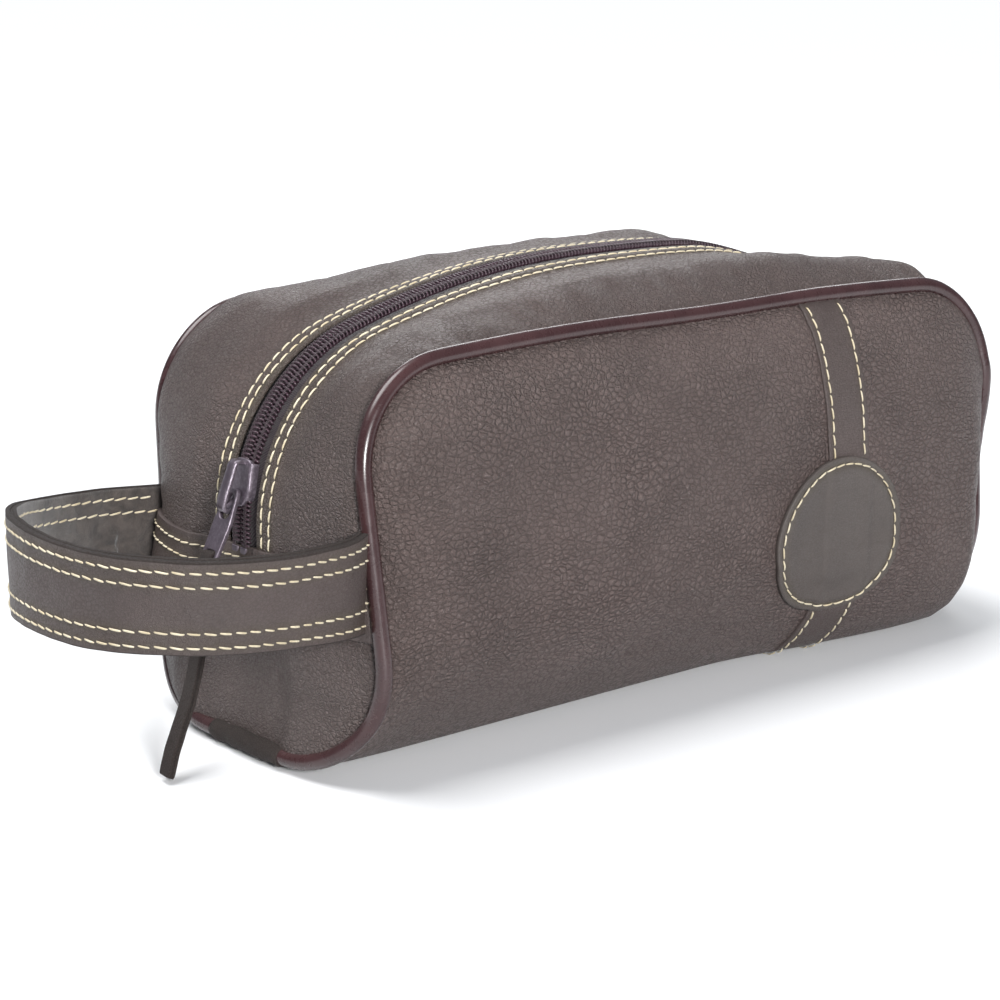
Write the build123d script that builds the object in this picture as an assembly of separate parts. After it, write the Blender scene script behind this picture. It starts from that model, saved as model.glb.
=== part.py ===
"""Soft leather shaving kit bag: arched zip top, piped seams, trim band with round patch, wrist loop.

Frame, in millimetres: +X along the bag towards the end without the loop, +Y to the back,
+Z up, origin on the floor under the middle of the bag. The zip runs in the plane y = 0.
"""
from build123d import *

import os
from math import asin, cos, degrees, pi, radians, sin, sqrt, tan

os.makedirs("parts", exist_ok=True)

# ---------------------------------------------------------------- driving dimensions
# Seams: the four piped edges of the two long faces.
SEAM_HALF_LENGTH = 127.0             # middle of the bag to each end seam
SEAM_TOP = 118.0                     # height of the top seams
FRONT_TOP, FRONT_LOW = 45.0, 62.0    # front seam plane to the zip plane, at the top and floor
BACK_TOP, BACK_LOW = 58.0, 60.0      # back seam plane, the same
SEAM_TOP_CORNER = 30.0               # corner radius of the long faces at the top
SEAM_TOP_ARCH = 3000.0               # radius of the almost straight top seams
BELLY_RADIUS = 40.0                  # front and back faces roll into the bottom

# Ridge: the line of the zip, which stands past the seams.
RIDGE_HALF_LENGTH = 137.0
RIDGE_TOP = 136.5
RIDGE_CORNER = 58.0
RIDGE_ARCH = 314.0
CROWN_POWER = 2.2                    # how the strip falls away from ridge to seam
CROWN_STATIONS = (-1.0, -0.8, -0.45, 0.0, 0.45, 0.8, 1.0)

# Materials
LEATHER = 1.4
PADDING = 2.0
LINING = 0.6
BINDING_WIDTH = 4.0
BINDING = 1.6

# Piping
PIPE_RADIUS = 2.4
PIPE_CORD_RADIUS = 1.4
PIPE_STANDOFF = 0.8                  # piping centre outside the seam corner
PIPE_FLOOR = 3.8                     # height of the piping under the ends
PIPE_END_FLAT = 14.0                 # straight half run across each end
PIPE_END_TURN = 30.0
PIPE_JOINT_GAP = 0.5
SLEEVE_RADIUS = 3.5
SLEEVE_HALF = 12.0

# Zip
ZIP_SLOT_HALF = 7.0                  # leather edge to the zip plane
ZIP_LOW = 61.0                       # lower ends of the slot
TAPE_HALF = 15.0
TAPE = 0.5
TAPE_LOW = 50.0
CHAIN_SPLIT = 1.1                    # half the slit that the slider's post runs in
COIL_EDGE = 4.0                      # outer edge of a coil from the zip plane
COIL_PROUD = 0.8                     # coil top above the ridge line
COIL_SEAT = 1.35                     # underside of the coil below the ridge line
COIL_LOW = 64.0
STOP_HEIGHT = 2.5
CLEAR = 0.35                         # running clearance round the slider

# Slider
SLIDER_LENGTH = 13.6
SLIDER_HALF_WIDTH = 5.0
SLIDER_TOP = 1.3
SLIDER_BASE = 1.0
SLIDER_CHEEK = 0.6
SLIDER_POST_HALF = 0.7
SLIDER_POST_LENGTH = 3.0
SLIDER_Z = 80.0                      # height of the slider's middle with the zip closed
BRIDGE_HALF_LENGTH = 5.8
BRIDGE_RISE = 5.2
BRIDGE_BAR = 1.5
BRIDGE_WIDTH = 3.0

# Puller, hung on the bridge, and the leather thong tied through it
PULLER_PIVOT_OUT = 1.85              # pivot outside the slider's top plate
PULLER_PIVOT_DOWN = 1.8              # pivot below the slider's middle
PULLER_LENGTH = 23.0
PULLER_THICK = 1.4
PULLER_TOP_WIDTH = 8.4
PULLER_WAIST = 6.6
PULLER_FOOT_WIDTH = 9.0
PULLER_EYE = (5.2, 9.0)              # width and length of the upper eye
PULLER_BAR_RADIUS = 0.8              # round bars that the bridge and the thong run on
PULLER_TOP_BAR = 4.4
PULLER_FORK = (5.4, 3.8)             # width and depth of the open foot
PULLER_PIN_DOWN = 21.2               # pivot to the pin across the foot
PULLER_LEAN = 21.0                   # degrees out from straight down
THONG_WIDTH = 6.0
THONG_THICK = 2.4
THONG_YAW = 22.0                     # degrees that the thong swings towards the front
THONG_START_DOWN = 23.4              # pivot to the thong's first point
THONG_RUNS = ((13.0, 9.0), (14.0, 13.0), (15.5, 24.0), (16.5, 36.0))  # length, degrees off plumb
THONG_BEND_SHARE = 0.45

# Wrist strap loop
STRAP_WIDTH = 29.0
STRAP_OUTER = 1.4
STRAP_CORE = 0.7
STRAP_LINING = 1.2
STRAP_Z = 60.0
STRAP_TILT = 5.0                     # degrees that the loop rises outwards
LOOP_PLAN = (                        # strap middle seen from above, sewn front end to back end
    (-123.2, -45.4), (-150.0, -57.5), (-188.0, -56.0), (-208.0, -22.0),
    (-208.0, 22.0), (-188.0, 56.0), (-150.0, 58.5), (-123.2, 52.6),
)
LOOP_BENDS = (30.0, 30.0, 28.0, 28.0, 30.0, 30.0)
LOOP_PIVOT_X = -148.0                # where the loop flexes beside the seams
KNUCKLE = 15.5                       # radius of the loop's round inner ends

# Bands and patch
BAND_LOW, BAND_HIGH = 43.0, 61.0
BAND = 1.3
TRIM_X = 51.0
TRIM_WIDTH = 19.0
TRIM = 0.8
DISC_X, DISC_Z = 47.0, 45.0
DISC_RADIUS = 26.0

REACH = 400.0                        # longer than the bag, for cutting shapes


# ---------------------------------------------------------------- helpers
def save(node, *shapes):
    """Write one named piece from its solids."""
    solids = [solid for shape in shapes for solid in shape.solids()]
    piece = solids[0] if len(solids) == 1 else Compound(children=solids)
    piece.label = node
    export_step(piece, f"parts/{node}.step")
    print(f"{node:22s} {len(solids):2d} solid(s) {piece.volume / 1000:9.3f} cm3")


def slab(x=(-REACH, REACH), y=(-REACH, REACH), z=(-REACH, REACH)):
    """A cutting box given by its lowest and highest corners."""
    size = [high - low for low, high in (x, y, z)]
    middle = [(high + low) / 2 for low, high in (x, y, z)]
    return Pos(*middle) * Box(*size)


def arch_centre(half_length, top, corner, arch):
    """Lean of the shoulder in radians, and the left corner's centre, of an arched outline."""
    lean = asin((half_length - corner) / (arch - corner))
    return lean, (corner - half_length, top - arch + (arch - corner) * cos(lean))


def arch_face(half_length, top, corner, arch, floor):
    """Closed XZ outline: upright ends, round corners, gently arched top, flat floor."""
    lean, (centre_x, centre_z) = arch_centre(half_length, top, corner, arch)
    shoulder = (-arch * sin(lean), top - arch + arch * cos(lean))
    bend_angle = 3 * pi / 4 + lean / 2
    bend = (centre_x + corner * cos(bend_angle), centre_z + corner * sin(bend_angle))
    edges = [
        Line((-half_length, floor), (-half_length, centre_z)),
        ThreePointArc((-half_length, centre_z), bend, shoulder),
        ThreePointArc(shoulder, (0, top), (-shoulder[0], shoulder[1])),
        ThreePointArc((-shoulder[0], shoulder[1]), (-bend[0], bend[1]), (half_length, centre_z)),
        Line((half_length, centre_z), (half_length, floor)),
        Line((half_length, floor), (-half_length, floor)),
    ]
    return make_face(edges)


def seam_y(side, z):
    """Depth of the front (side -1) or back (side 1) seam plane at height z."""
    low, high = (FRONT_LOW, FRONT_TOP) if side < 0 else (BACK_LOW, BACK_TOP)
    return side * (low + (high - low) * z / SEAM_TOP)


def envelope(inset):
    """Space inside the arched strip, taken in by inset and run on past both seam planes."""
    sections = []
    for station in CROWN_STATIONS:
        crown = 1 - abs(station) ** CROWN_POWER
        side = -1 if station < 0 else 1
        low = abs(station) * seam_y(side, 0)
        slope = abs(station) * (seam_y(side, SEAM_TOP) - seam_y(side, 0)) / SEAM_TOP
        half_length = SEAM_HALF_LENGTH + (RIDGE_HALF_LENGTH - SEAM_HALF_LENGTH) * crown
        top = SEAM_TOP + (RIDGE_TOP - SEAM_TOP) * crown
        corner = SEAM_TOP_CORNER + (RIDGE_CORNER - SEAM_TOP_CORNER) * crown
        arch = 1 / ((1 - crown) / SEAM_TOP_ARCH + crown / RIDGE_ARCH)
        face = arch_face(half_length - inset, (top - inset) * sqrt(1 + slope ** 2),
                         corner - inset, arch - inset, -LEATHER * 7 - inset)
        plane = Plane(origin=(0, low, 0), x_dir=(1, 0, 0), z_dir=(0, -1, slope))
        sections.append(plane * face)
    front = extrude(sections[0], amount=PIPE_RADIUS * 4, dir=(0, -1, 0))
    back = extrude(sections[-1], amount=PIPE_RADIUS * 4, dir=(0, 1, 0))
    return loft(sections) + front + back


def cradle(inset):
    """Space inside the front, bottom and back faces, taken in by inset from the outer leather."""
    outer = LEATHER - inset
    top = SEAM_TOP + BELLY_RADIUS
    corners = [
        (seam_y(-1, top) - outer, top),
        (seam_y(-1, 0) - outer, inset),
        (seam_y(1, 0) + outer, inset),
        (seam_y(1, top) + outer, top),
    ]
    outline = make_face(Polyline(*corners, close=True))
    lower_corners = outline.vertices().sort_by(Axis.Y)[:2]
    rounded = fillet(lower_corners, BELLY_RADIUS - inset)
    return extrude(Plane.YZ * rounded, amount=REACH / 2, both=True)


def tube(path, radius):
    """A round bar along a path."""
    return sweep(Plane(origin=path @ 0, z_dir=path % 0) * Circle(radius), path=path)


def ridge_band(outer, inner, y_range, z_low):
    """A strip along the zip between two insets of the ridge line, above z_low."""
    faces = [arch_face(RIDGE_HALF_LENGTH - inset, RIDGE_TOP - inset, RIDGE_CORNER - inset,
                       RIDGE_ARCH - inset, 0) for inset in (outer, inner)]
    ring = Plane.XZ * (faces[0] - faces[1])
    band = Pos(0, y_range[1], 0) * extrude(ring, amount=y_range[1] - y_range[0])
    return band & slab(z=(z_low, REACH))


# ---------------------------------------------------------------- leather, padding and lining
PADDING_FACE = LEATHER + PADDING
LINING_FACE = PADDING_FACE + LINING
TAPE_FACE = LEATHER + TAPE

strip = {inset: envelope(inset)
         for inset in (-BAND, 0, LEATHER, TAPE_FACE, PADDING_FACE, LINING_FACE)}
wrap = {inset: cradle(inset)
        for inset in (-LEATHER, 0, TRIM, LEATHER, PADDING_FACE, LINING_FACE)}

body_panel = (strip[0] & wrap[0]) - wrap[LEATHER]
gusset_panel = (strip[0] - strip[LEATHER]) & wrap[LEATHER]
padding_body = (wrap[LEATHER] - wrap[PADDING_FACE]) & strip[PADDING_FACE]
padding_gusset = (strip[LEATHER] - strip[PADDING_FACE]) & wrap[LEATHER]
lining_body = (wrap[PADDING_FACE] - wrap[LINING_FACE]) & strip[LINING_FACE]
lining_gusset = (strip[PADDING_FACE] - strip[LINING_FACE]) & wrap[PADDING_FACE]


# ---------------------------------------------------------------- piping loop
def pipe_y(side, z):
    """Depth of the piping's centre on the front or back seam at height z."""
    return seam_y(side, z) + side * PIPE_STANDOFF


def pipe_path():
    """The whole seam: along both ends' lower edges, up the four corners and over both tops."""
    end_x = RIDGE_HALF_LENGTH + PIPE_STANDOFF
    seam_x = SEAM_HALF_LENGTH + PIPE_STANDOFF
    points = [(-end_x, 0, PIPE_FLOOR)]
    radii = []
    for end, side in ((-1, -1), (1, -1), (1, 1), (-1, 1)):
        run = [
            ((end * end_x, side * PIPE_END_FLAT, PIPE_FLOOR), PIPE_END_TURN),
            ((end * seam_x, pipe_y(side, 0), PIPE_FLOOR), BELLY_RADIUS),
            ((end * seam_x, pipe_y(side, SEAM_TOP), SEAM_TOP), SEAM_TOP_CORNER),
        ]
        if end != side:
            run.reverse()
        points += [point for point, radius in run]
        radii += [radius for point, radius in run]
    points.append((-end_x, PIPE_JOINT_GAP, PIPE_FLOOR))
    return FilletPolyline(*points, radius=radii)


piping_route = pipe_path()
piping_bar = tube(piping_route, PIPE_RADIUS)
piping_cord = tube(piping_route, PIPE_CORD_RADIUS)
sleeve_plane = Plane(origin=(-RIDGE_HALF_LENGTH - PIPE_STANDOFF, 0, PIPE_FLOOR),
                     x_dir=(1, 0, 0), z_dir=(0, 1, 0))
sleeve_bar = extrude(sleeve_plane * Circle(SLEEVE_RADIUS), amount=SLEEVE_HALF, both=True)
sleeve_bore = extrude(sleeve_plane * Circle(PIPE_RADIUS), amount=SLEEVE_HALF, both=True)


# ---------------------------------------------------------------- seam binding
def seam_binding(side):
    """Tape over the raw seam edges, inside the lining along one long face."""
    slope = (seam_y(side, SEAM_TOP) - seam_y(side, 0)) / SEAM_TOP
    start_y = seam_y(side, 0) - side * (LINING_FACE - LEATHER + CLEAR)
    plane = Plane(origin=(0, start_y, 0), x_dir=(1, 0, 0), z_dir=(0, -1, slope))
    insets = (LINING_FACE + CLEAR, LINING_FACE + BINDING_WIDTH)
    faces = [arch_face(SEAM_HALF_LENGTH - inset, SEAM_TOP - inset, SEAM_TOP_CORNER - inset,
                       SEAM_TOP_ARCH, 0) for inset in insets]
    ring = extrude(plane * (faces[0] - faces[1]), amount=side * BINDING)
    return ring & slab(z=(BELLY_RADIUS, REACH))


# ---------------------------------------------------------------- wrist strap
def strap_band(layer_low, layer_high):
    """One layer of the whole strap, laid level: a U in plan with the strap on edge."""
    route = FilletPolyline(*[(x, y, STRAP_Z) for x, y in LOOP_PLAN], radius=LOOP_BENDS)
    heading = route % 0
    start = Plane(origin=route @ 0, x_dir=(heading.Y, -heading.X, 0), z_dir=heading)
    section = Pos((layer_low + layer_high) / 2, 0) * Rectangle(layer_high - layer_low, STRAP_WIDTH)
    return sweep(start * section, path=route)


def knuckle(radius):
    """Cylinder about the loop's flex axis."""
    axis = Plane(origin=(LOOP_PIVOT_X, 0, STRAP_Z), x_dir=(1, 0, 0), z_dir=(0, 1, 0))
    return extrude(axis * Circle(radius), amount=REACH / 2, both=True)


strap_total = STRAP_OUTER + STRAP_CORE + STRAP_LINING
layer_edges = (strap_total / 2, strap_total / 2 - STRAP_OUTER,
               STRAP_LINING - strap_total / 2, -strap_total / 2)
strap_names = ("strap_outer", "strap_core", "strap_lining")
strap_layers = {name: strap_band(low, high)
                for name, high, low in zip(strap_names, layer_edges[:-1], layer_edges[1:])}
loop_space = slab(x=(-REACH, LOOP_PIVOT_X)) + knuckle(KNUCKLE)
tilt = Pos(LOOP_PIVOT_X, 0, STRAP_Z) * Rot(0, STRAP_TILT, 0) * Pos(-LOOP_PIVOT_X, 0, -STRAP_Z)
sewn_space = slab(x=(LOOP_PIVOT_X, 0)) - knuckle(KNUCKLE + CLEAR)
whole_strap = strap_band(-strap_total / 2, strap_total / 2)
strap_ends = {side: whole_strap & sewn_space & slab(y=sorted((0, side * REACH)))
              for side in (-1, 1)}


# ---------------------------------------------------------------- bands and patch
def end_band(end):
    """Flat band across one end, over the zip's lower end."""
    side_of_bag = (-REACH, 0) if end < 0 else (0, REACH)
    ring = (strip[-BAND] - strip[0]) & slab(x=side_of_bag, z=(BAND_LOW, BAND_HIGH))
    return (ring & wrap[LEATHER]) - piping_bar - strap_ends[-1] - strap_ends[1]


trim_slab = slab(x=(TRIM_X - TRIM_WIDTH / 2, TRIM_X + TRIM_WIDTH / 2))
trim_band = ((wrap[0] - wrap[TRIM]) & strip[0] & trim_slab) - piping_bar
disc_bar = Pos(DISC_X, -REACH / 2, DISC_Z) * Rot(90, 0, 0) * Cylinder(DISC_RADIUS, REACH)
disc_patch = (wrap[-LEATHER] - wrap[0]) & disc_bar

# ---------------------------------------------------------------- zip
zip_slot = slab(y=(-ZIP_SLOT_HALF, ZIP_SLOT_HALF), z=(ZIP_LOW, REACH))
inner_slot = slab(y=(-ZIP_SLOT_HALF - 1, ZIP_SLOT_HALF + 1), z=(ZIP_LOW, REACH))
tape_ring = (strip[LEATHER] - strip[TAPE_FACE]) & slab(z=(TAPE_LOW, REACH))
tapes = {side: tape_ring & slab(y=sorted((side * CHAIN_SPLIT, side * TAPE_HALF)))
         for side in (-1, 1)}
coils = {side: ridge_band(-COIL_PROUD, COIL_SEAT,
                          sorted((side * CHAIN_SPLIT, side * COIL_EDGE)), COIL_LOW)
         for side in (-1, 1)}
stop_band = ridge_band(-COIL_PROUD, COIL_SEAT, (-COIL_EDGE, COIL_EDGE),
                       COIL_LOW - CLEAR - STOP_HEIGHT) & slab(z=(0, COIL_LOW - CLEAR))
top_stops = (stop_band & slab(x=(-REACH, 0))) - slab(y=(-CHAIN_SPLIT, CHAIN_SPLIT))
bottom_stop = stop_band & slab(x=(0, REACH))

# ---------------------------------------------------------------- slider
turn_lean, (TURN_X, TURN_Z) = arch_centre(RIDGE_HALF_LENGTH, RIDGE_TOP, RIDGE_CORNER, RIDGE_ARCH)
slider_angle = degrees(asin((SLIDER_Z - TURN_Z) / RIDGE_CORNER))
plate_low = RIDGE_CORNER + COIL_PROUD + CLEAR
plate_high = plate_low + SLIDER_TOP
base_high = RIDGE_CORNER - TAPE_FACE - CLEAR
base_low = base_high - SLIDER_BASE
cheek_low = RIDGE_CORNER - LEATHER + CLEAR


def turn_ring(low, high, y_range, z_range):
    """Part of a ring about the zip's corner centre, before it is turned to its place."""
    ring = Plane.XZ * (Circle(high) - Circle(low))
    bar = Pos(0, y_range[1], 0) * extrude(ring, amount=y_range[1] - y_range[0])
    return bar & slab(x=(-REACH, 0), z=z_range)


def on_turn(shape, angle):
    """Turn a shape drawn at the corner's left about the corner centre and put it in place."""
    return Pos(TURN_X, 0, TURN_Z) * Rot(0, angle, 0) * shape


half = SLIDER_LENGTH / 2
full_y = (-SLIDER_HALF_WIDTH, SLIDER_HALF_WIDTH)
slider_local = turn_ring(plate_low, plate_high, full_y, (-half, half))
slider_local += turn_ring(base_low, base_high, full_y, (-half, half))
slider_local += turn_ring(base_low, plate_high, (-SLIDER_POST_HALF, SLIDER_POST_HALF),
                          (-half, SLIDER_POST_LENGTH - half))
for side in (-1, 1):
    cheek_y = sorted((side * (SLIDER_HALF_WIDTH - SLIDER_CHEEK), side * SLIDER_HALF_WIDTH))
    slider_local += turn_ring(cheek_low, plate_high, cheek_y, (-half, half))
slider_body = on_turn(slider_local, slider_angle)

bridge_outer = Ellipse(BRIDGE_RISE, BRIDGE_HALF_LENGTH)
bridge_inner = Ellipse(BRIDGE_RISE - BRIDGE_BAR, BRIDGE_HALF_LENGTH - BRIDGE_BAR)
bridge_face = Plane.XZ * (Pos(-plate_high + 0.2, 0) * (bridge_outer - bridge_inner))
bridge_local = Pos(0, BRIDGE_WIDTH / 2, 0) * extrude(bridge_face, amount=BRIDGE_WIDTH)
bridge_local -= turn_ring(base_low, plate_high, full_y, (-REACH, REACH))
bridge_local &= slab(x=(-REACH, -plate_high + 0.3))
slider_bridge = on_turn(bridge_local, slider_angle)


# ---------------------------------------------------------------- puller and thong
def turned(x, z, degrees_up):
    """A point drawn at the zip corner's left, turned about the corner centre."""
    angle = radians(degrees_up)
    return (TURN_X + x * cos(angle) + z * sin(angle), TURN_Z - x * sin(angle) + z * cos(angle))


PIVOT_X, PIVOT_Z = turned(-plate_high - PULLER_PIVOT_OUT, -PULLER_PIVOT_DOWN, slider_angle)


def puller_face():
    """Outline of the metal puller in its own plane, pivot at the origin, hanging down."""
    head_radius = PULLER_TOP_WIDTH / 2
    head_z = PULLER_THICK / 2 - head_radius
    eye_width, eye_length = PULLER_EYE
    waist_z = head_z - eye_length
    outline = make_face(Polyline(
        (-PULLER_TOP_WIDTH / 2, head_z), (-PULLER_WAIST / 2, waist_z),
        (-PULLER_FOOT_WIDTH / 2, -PULLER_LENGTH), (PULLER_FOOT_WIDTH / 2, -PULLER_LENGTH),
        (PULLER_WAIST / 2, waist_z), (PULLER_TOP_WIDTH / 2, head_z), close=True))
    eye = Pos(0, -(PULLER_THICK + eye_length) / 2) * RectangleRounded(
        eye_width, eye_length, eye_width * 0.49)
    fork_width, fork_depth = PULLER_FORK
    fork = Pos(0, -PULLER_LENGTH) * Rectangle(fork_width, fork_depth * 2)
    return outline + Pos(0, head_z) * Circle(head_radius) - eye - fork


def puller_bar(distance, length):
    """Round bar across the puller, this far down from its pivot."""
    return Pos(0, 0, -distance) * Rot(90, 0, 0) * Cylinder(PULLER_BAR_RADIUS, length)


puller_local = extrude(Plane.YZ * puller_face(), amount=PULLER_THICK / 2, both=True)
puller_local += puller_bar(0, PULLER_TOP_BAR)
puller_local += puller_bar(PULLER_PIN_DOWN, PULLER_FORK[0] + 1)
hang = Pos(PIVOT_X, 0, PIVOT_Z) * Rot(0, PULLER_LEAN, 0)
puller = hang * puller_local


def below_pivot(distance):
    """The point this far down the puller from its pivot, as x and z."""
    lean = radians(PULLER_LEAN)
    return PIVOT_X - distance * sin(lean), PIVOT_Z - distance * cos(lean)


THONG_X, THONG_Z = below_pivot(PULLER_PIN_DOWN)


def thong_route():
    """Route points and bend radii of the hanging thong."""
    x, z = below_pivot(THONG_START_DOWN)
    yaw = radians(THONG_YAW)
    out = 0.0
    points = [(x, 0, z)]
    for length, off_plumb in THONG_RUNS:
        out += length * sin(radians(off_plumb))
        z -= length * cos(radians(off_plumb))
        points.append((x - out * cos(yaw), -out * sin(yaw), z))
    radii = []
    for (run, angle), (next_run, next_angle) in zip(THONG_RUNS, THONG_RUNS[1:]):
        half_turn = radians(next_angle - angle) / 2
        radii.append(THONG_BEND_SHARE * min(run, next_run) / tan(half_turn))
    return points, radii


thong_points, thong_radii = thong_route()
thong_path = FilletPolyline(*thong_points, radius=thong_radii)
thong_start = Plane(origin=thong_path @ 0, z_dir=thong_path % 0,
                    x_dir=(-sin(radians(THONG_YAW)), cos(radians(THONG_YAW)), 0))
pull_thong = sweep(thong_start * Rectangle(THONG_WIDTH, THONG_THICK), path=thong_path)

# ---------------------------------------------------------------- cuts between sewn pieces
sewn_ends = strap_ends[-1] + strap_ends[1]
tape_pair = tapes[-1] + tapes[1]
body_panel = body_panel - trim_band - piping_bar - sewn_ends
gusset_panel = gusset_panel - zip_slot - piping_bar - sleeve_bar - sewn_ends
padding_body = padding_body - piping_bar - sewn_ends
padding_gusset = padding_gusset - inner_slot - tape_pair - piping_bar - sleeve_bar - sewn_ends
lining_body = lining_body - sewn_ends
lining_gusset = lining_gusset - inner_slot - sewn_ends
joint_cover = sleeve_bar - sleeve_bore

# ---------------------------------------------------------------- pieces
save("body_panel", body_panel)
save("gusset_panel", gusset_panel)
save("padding_body", padding_body)
save("padding_gusset", padding_gusset)
save("lining_body", lining_body)
save("lining_gusset", lining_gusset)
save("seam_binding_front", seam_binding(-1) - sewn_ends)
save("seam_binding_back", seam_binding(1) - sewn_ends)
save("piping_skin", piping_bar - piping_cord)
save("piping_cord", piping_cord)
save("piping_joint_cover", joint_cover - body_panel)
save("zip_tape_front", tapes[-1])
save("zip_tape_back", tapes[1])
save("zip_coil_front", coils[-1])
save("zip_coil_back", coils[1])
save("zip_top_stops", top_stops)
save("zip_bottom_stop", bottom_stop)
save("end_band_left", end_band(-1))
save("end_band_right", end_band(1))
save("trim_band", trim_band)
save("disc_patch", disc_patch)
save("strap_end_front", strap_ends[-1])
save("strap_end_back", strap_ends[1])
for name in strap_names:
    save(name, tilt * (strap_layers[name] & loop_space))
save("slider_body", slider_body)
save("slider_bridge", slider_bridge)
save("puller_tab", puller)
save("pull_thong", pull_thong)

print(f"zip corner centre {TURN_X:.2f}, {TURN_Z:.2f}; slider at {slider_angle:.2f} degrees")
print(f"puller pivot {PIVOT_X:.2f}, {PIVOT_Z:.2f}; thong pivot {THONG_X:.2f}, {THONG_Z:.2f}")
print("thong points", [tuple(round(v, 2) for v in point) for point in thong_points])
print("thong bend radii", [round(radius, 1) for radius in thong_radii],
      "length", round(thong_path.length, 2))
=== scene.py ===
import math

import bpy
import numpy as np
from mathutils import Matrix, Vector


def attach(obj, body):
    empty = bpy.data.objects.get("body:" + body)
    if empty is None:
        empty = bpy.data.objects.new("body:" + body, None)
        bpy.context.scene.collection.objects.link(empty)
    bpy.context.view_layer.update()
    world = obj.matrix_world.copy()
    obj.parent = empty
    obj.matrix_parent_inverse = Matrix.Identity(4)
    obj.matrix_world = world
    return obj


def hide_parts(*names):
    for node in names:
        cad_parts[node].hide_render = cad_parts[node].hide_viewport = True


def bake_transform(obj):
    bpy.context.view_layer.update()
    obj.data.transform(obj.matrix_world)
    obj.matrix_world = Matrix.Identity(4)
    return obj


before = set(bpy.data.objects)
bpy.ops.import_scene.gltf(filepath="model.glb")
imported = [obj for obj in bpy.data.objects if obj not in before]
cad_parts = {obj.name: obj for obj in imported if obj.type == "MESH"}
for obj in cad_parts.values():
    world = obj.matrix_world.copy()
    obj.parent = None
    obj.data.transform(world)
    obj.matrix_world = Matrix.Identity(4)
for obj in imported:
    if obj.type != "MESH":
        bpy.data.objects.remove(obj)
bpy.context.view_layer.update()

# Lengths are in millimetres until a mesh is made.
MM = 0.001
rng = np.random.RandomState(11)


# ------------------------------------------------------------------ small maths
def smooth(low, high, value):
    """0 below low, 1 above high, a smooth step in between."""
    t = np.clip((value - low) / (high - low), 0, 1)
    return t * t * (3 - 2 * t)


def unit(v):
    """The same direction with length 1."""
    return v / np.maximum(np.linalg.norm(v, axis=-1, keepdims=True), 1e-12)


def bell(value, centre, width):
    """1 at the centre, falling off on both sides."""
    return np.exp(-((value - centre) / width) ** 2)


def spline(points, count):
    """Catmull-Rom curve through points of any dimension, evenly spaced by length."""
    points = np.array(points, float)
    ends = [2 * points[0] - points[1]], [2 * points[-1] - points[-2]]
    knots = np.concatenate([ends[0], points, ends[1]])
    rows = []
    for i in range(len(points) - 1):
        p0, p1, p2, p3 = knots[i:i + 4]
        t = np.linspace(0, 1, 40, endpoint=False)[:, None]
        rows.append(0.5 * (2 * p1 + (p2 - p0) * t + (2 * p0 - 5 * p1 + 4 * p2 - p3) * t ** 2
                           + (3 * p1 - p0 - 3 * p2 + p3) * t ** 3))
    rows.append(points[-1:])
    return resample(np.concatenate(rows), count)


def lengths(path):
    """Distance along a path at each of its points."""
    steps = np.linalg.norm(np.diff(path[:, :3], axis=0), axis=1)
    return np.concatenate([[0], np.cumsum(steps)])


def points_at(s, along, path):
    """Points of a path at the distances s, where along holds the distance of each of its points."""
    return np.stack([np.interp(s, along, path[:, k]) for k in range(path.shape[1])], -1)


def resample(path, count):
    """The same path with evenly spaced points."""
    along = lengths(path)
    return points_at(np.linspace(0, along[-1], count), along, path)


WAVE_LAYERS = 22


def waves(points, size, seed):
    """Smooth random field over 3-D points, about -1 to 1, with features of the given size in mm."""
    state = np.random.RandomState(seed)
    total = np.zeros(points.shape[:-1])
    for _ in range(WAVE_LAYERS):
        direction = unit(state.normal(size=3))
        wave = 2 * np.pi / (size * state.uniform(0.7, 1.9))
        total += np.sin(points @ direction * wave + state.uniform(0, 2 * np.pi))
    return total / math.sqrt(WAVE_LAYERS) * 1.2


# ------------------------------------------------------------------ bag shape
FRONT_TOP, FRONT_LOW = 43.0, 63.0       # front seam to the zip plane at the top and floor
BACK_TOP, BACK_LOW = 60.0, 57.5
SEAM_X, SEAM_Z, SEAM_RISE = 127.2, 117.3, 2.4
SEAM_CORNER, SEAM_ARCH = 30.2, 1960.0
RIDGE_X, RIDGE_Z, RIDGE_CORNER, RIDGE_ARCH = 137.0, 136.5, 58.0, 314.0
CROWN = 2.2
BELLY = 40.0
SLOT_LOW = 61.0
SLOT_HALF = 7.0
LOW_SHARE = 0.256                       # share of the half strip below the zip slot
HEM = 3.2                               # lowest edge of the end leather
SEAM_HEIGHT = 118                       # height over which the side seams lean
STITCH_ROWS = (10.0, 13.6)              # distance of the stitch rows from the zip plane
STITCH_WIDTH, STITCH_DENT = 0.75, 0.28
LIP, LIP_DROP = 8.2, 0.9                # where the leather starts to bend down to the zip
STRIP_PUFF, BACK_PUFF = 1.9, 1.7        # how far it is filled out, and how much more at the back
LEATHER = 1.4                           # thickness of the outer leather
LINING_DEPTH = -4.0                     # where the lining lies under the leather's outside


def seam_depth(side, z):
    """Distance of the front (-1) or back (1) seam from the zip plane."""
    front = FRONT_LOW + (FRONT_TOP - FRONT_LOW) * z / SEAM_HEIGHT
    back = BACK_LOW + (BACK_TOP - BACK_LOW) * z / SEAM_HEIGHT
    return np.where(side < 0, front, back)


def end_limit(side, z):
    """Half width of the end leather at height z: it follows the rounded belly."""
    phi = np.arccos(np.clip(1 - (z - HEM) / (BELLY - HEM), 0, 1))
    return seam_depth(side, z) - BELLY * (1 - np.sin(phi)) * (z < BELLY)


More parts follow.
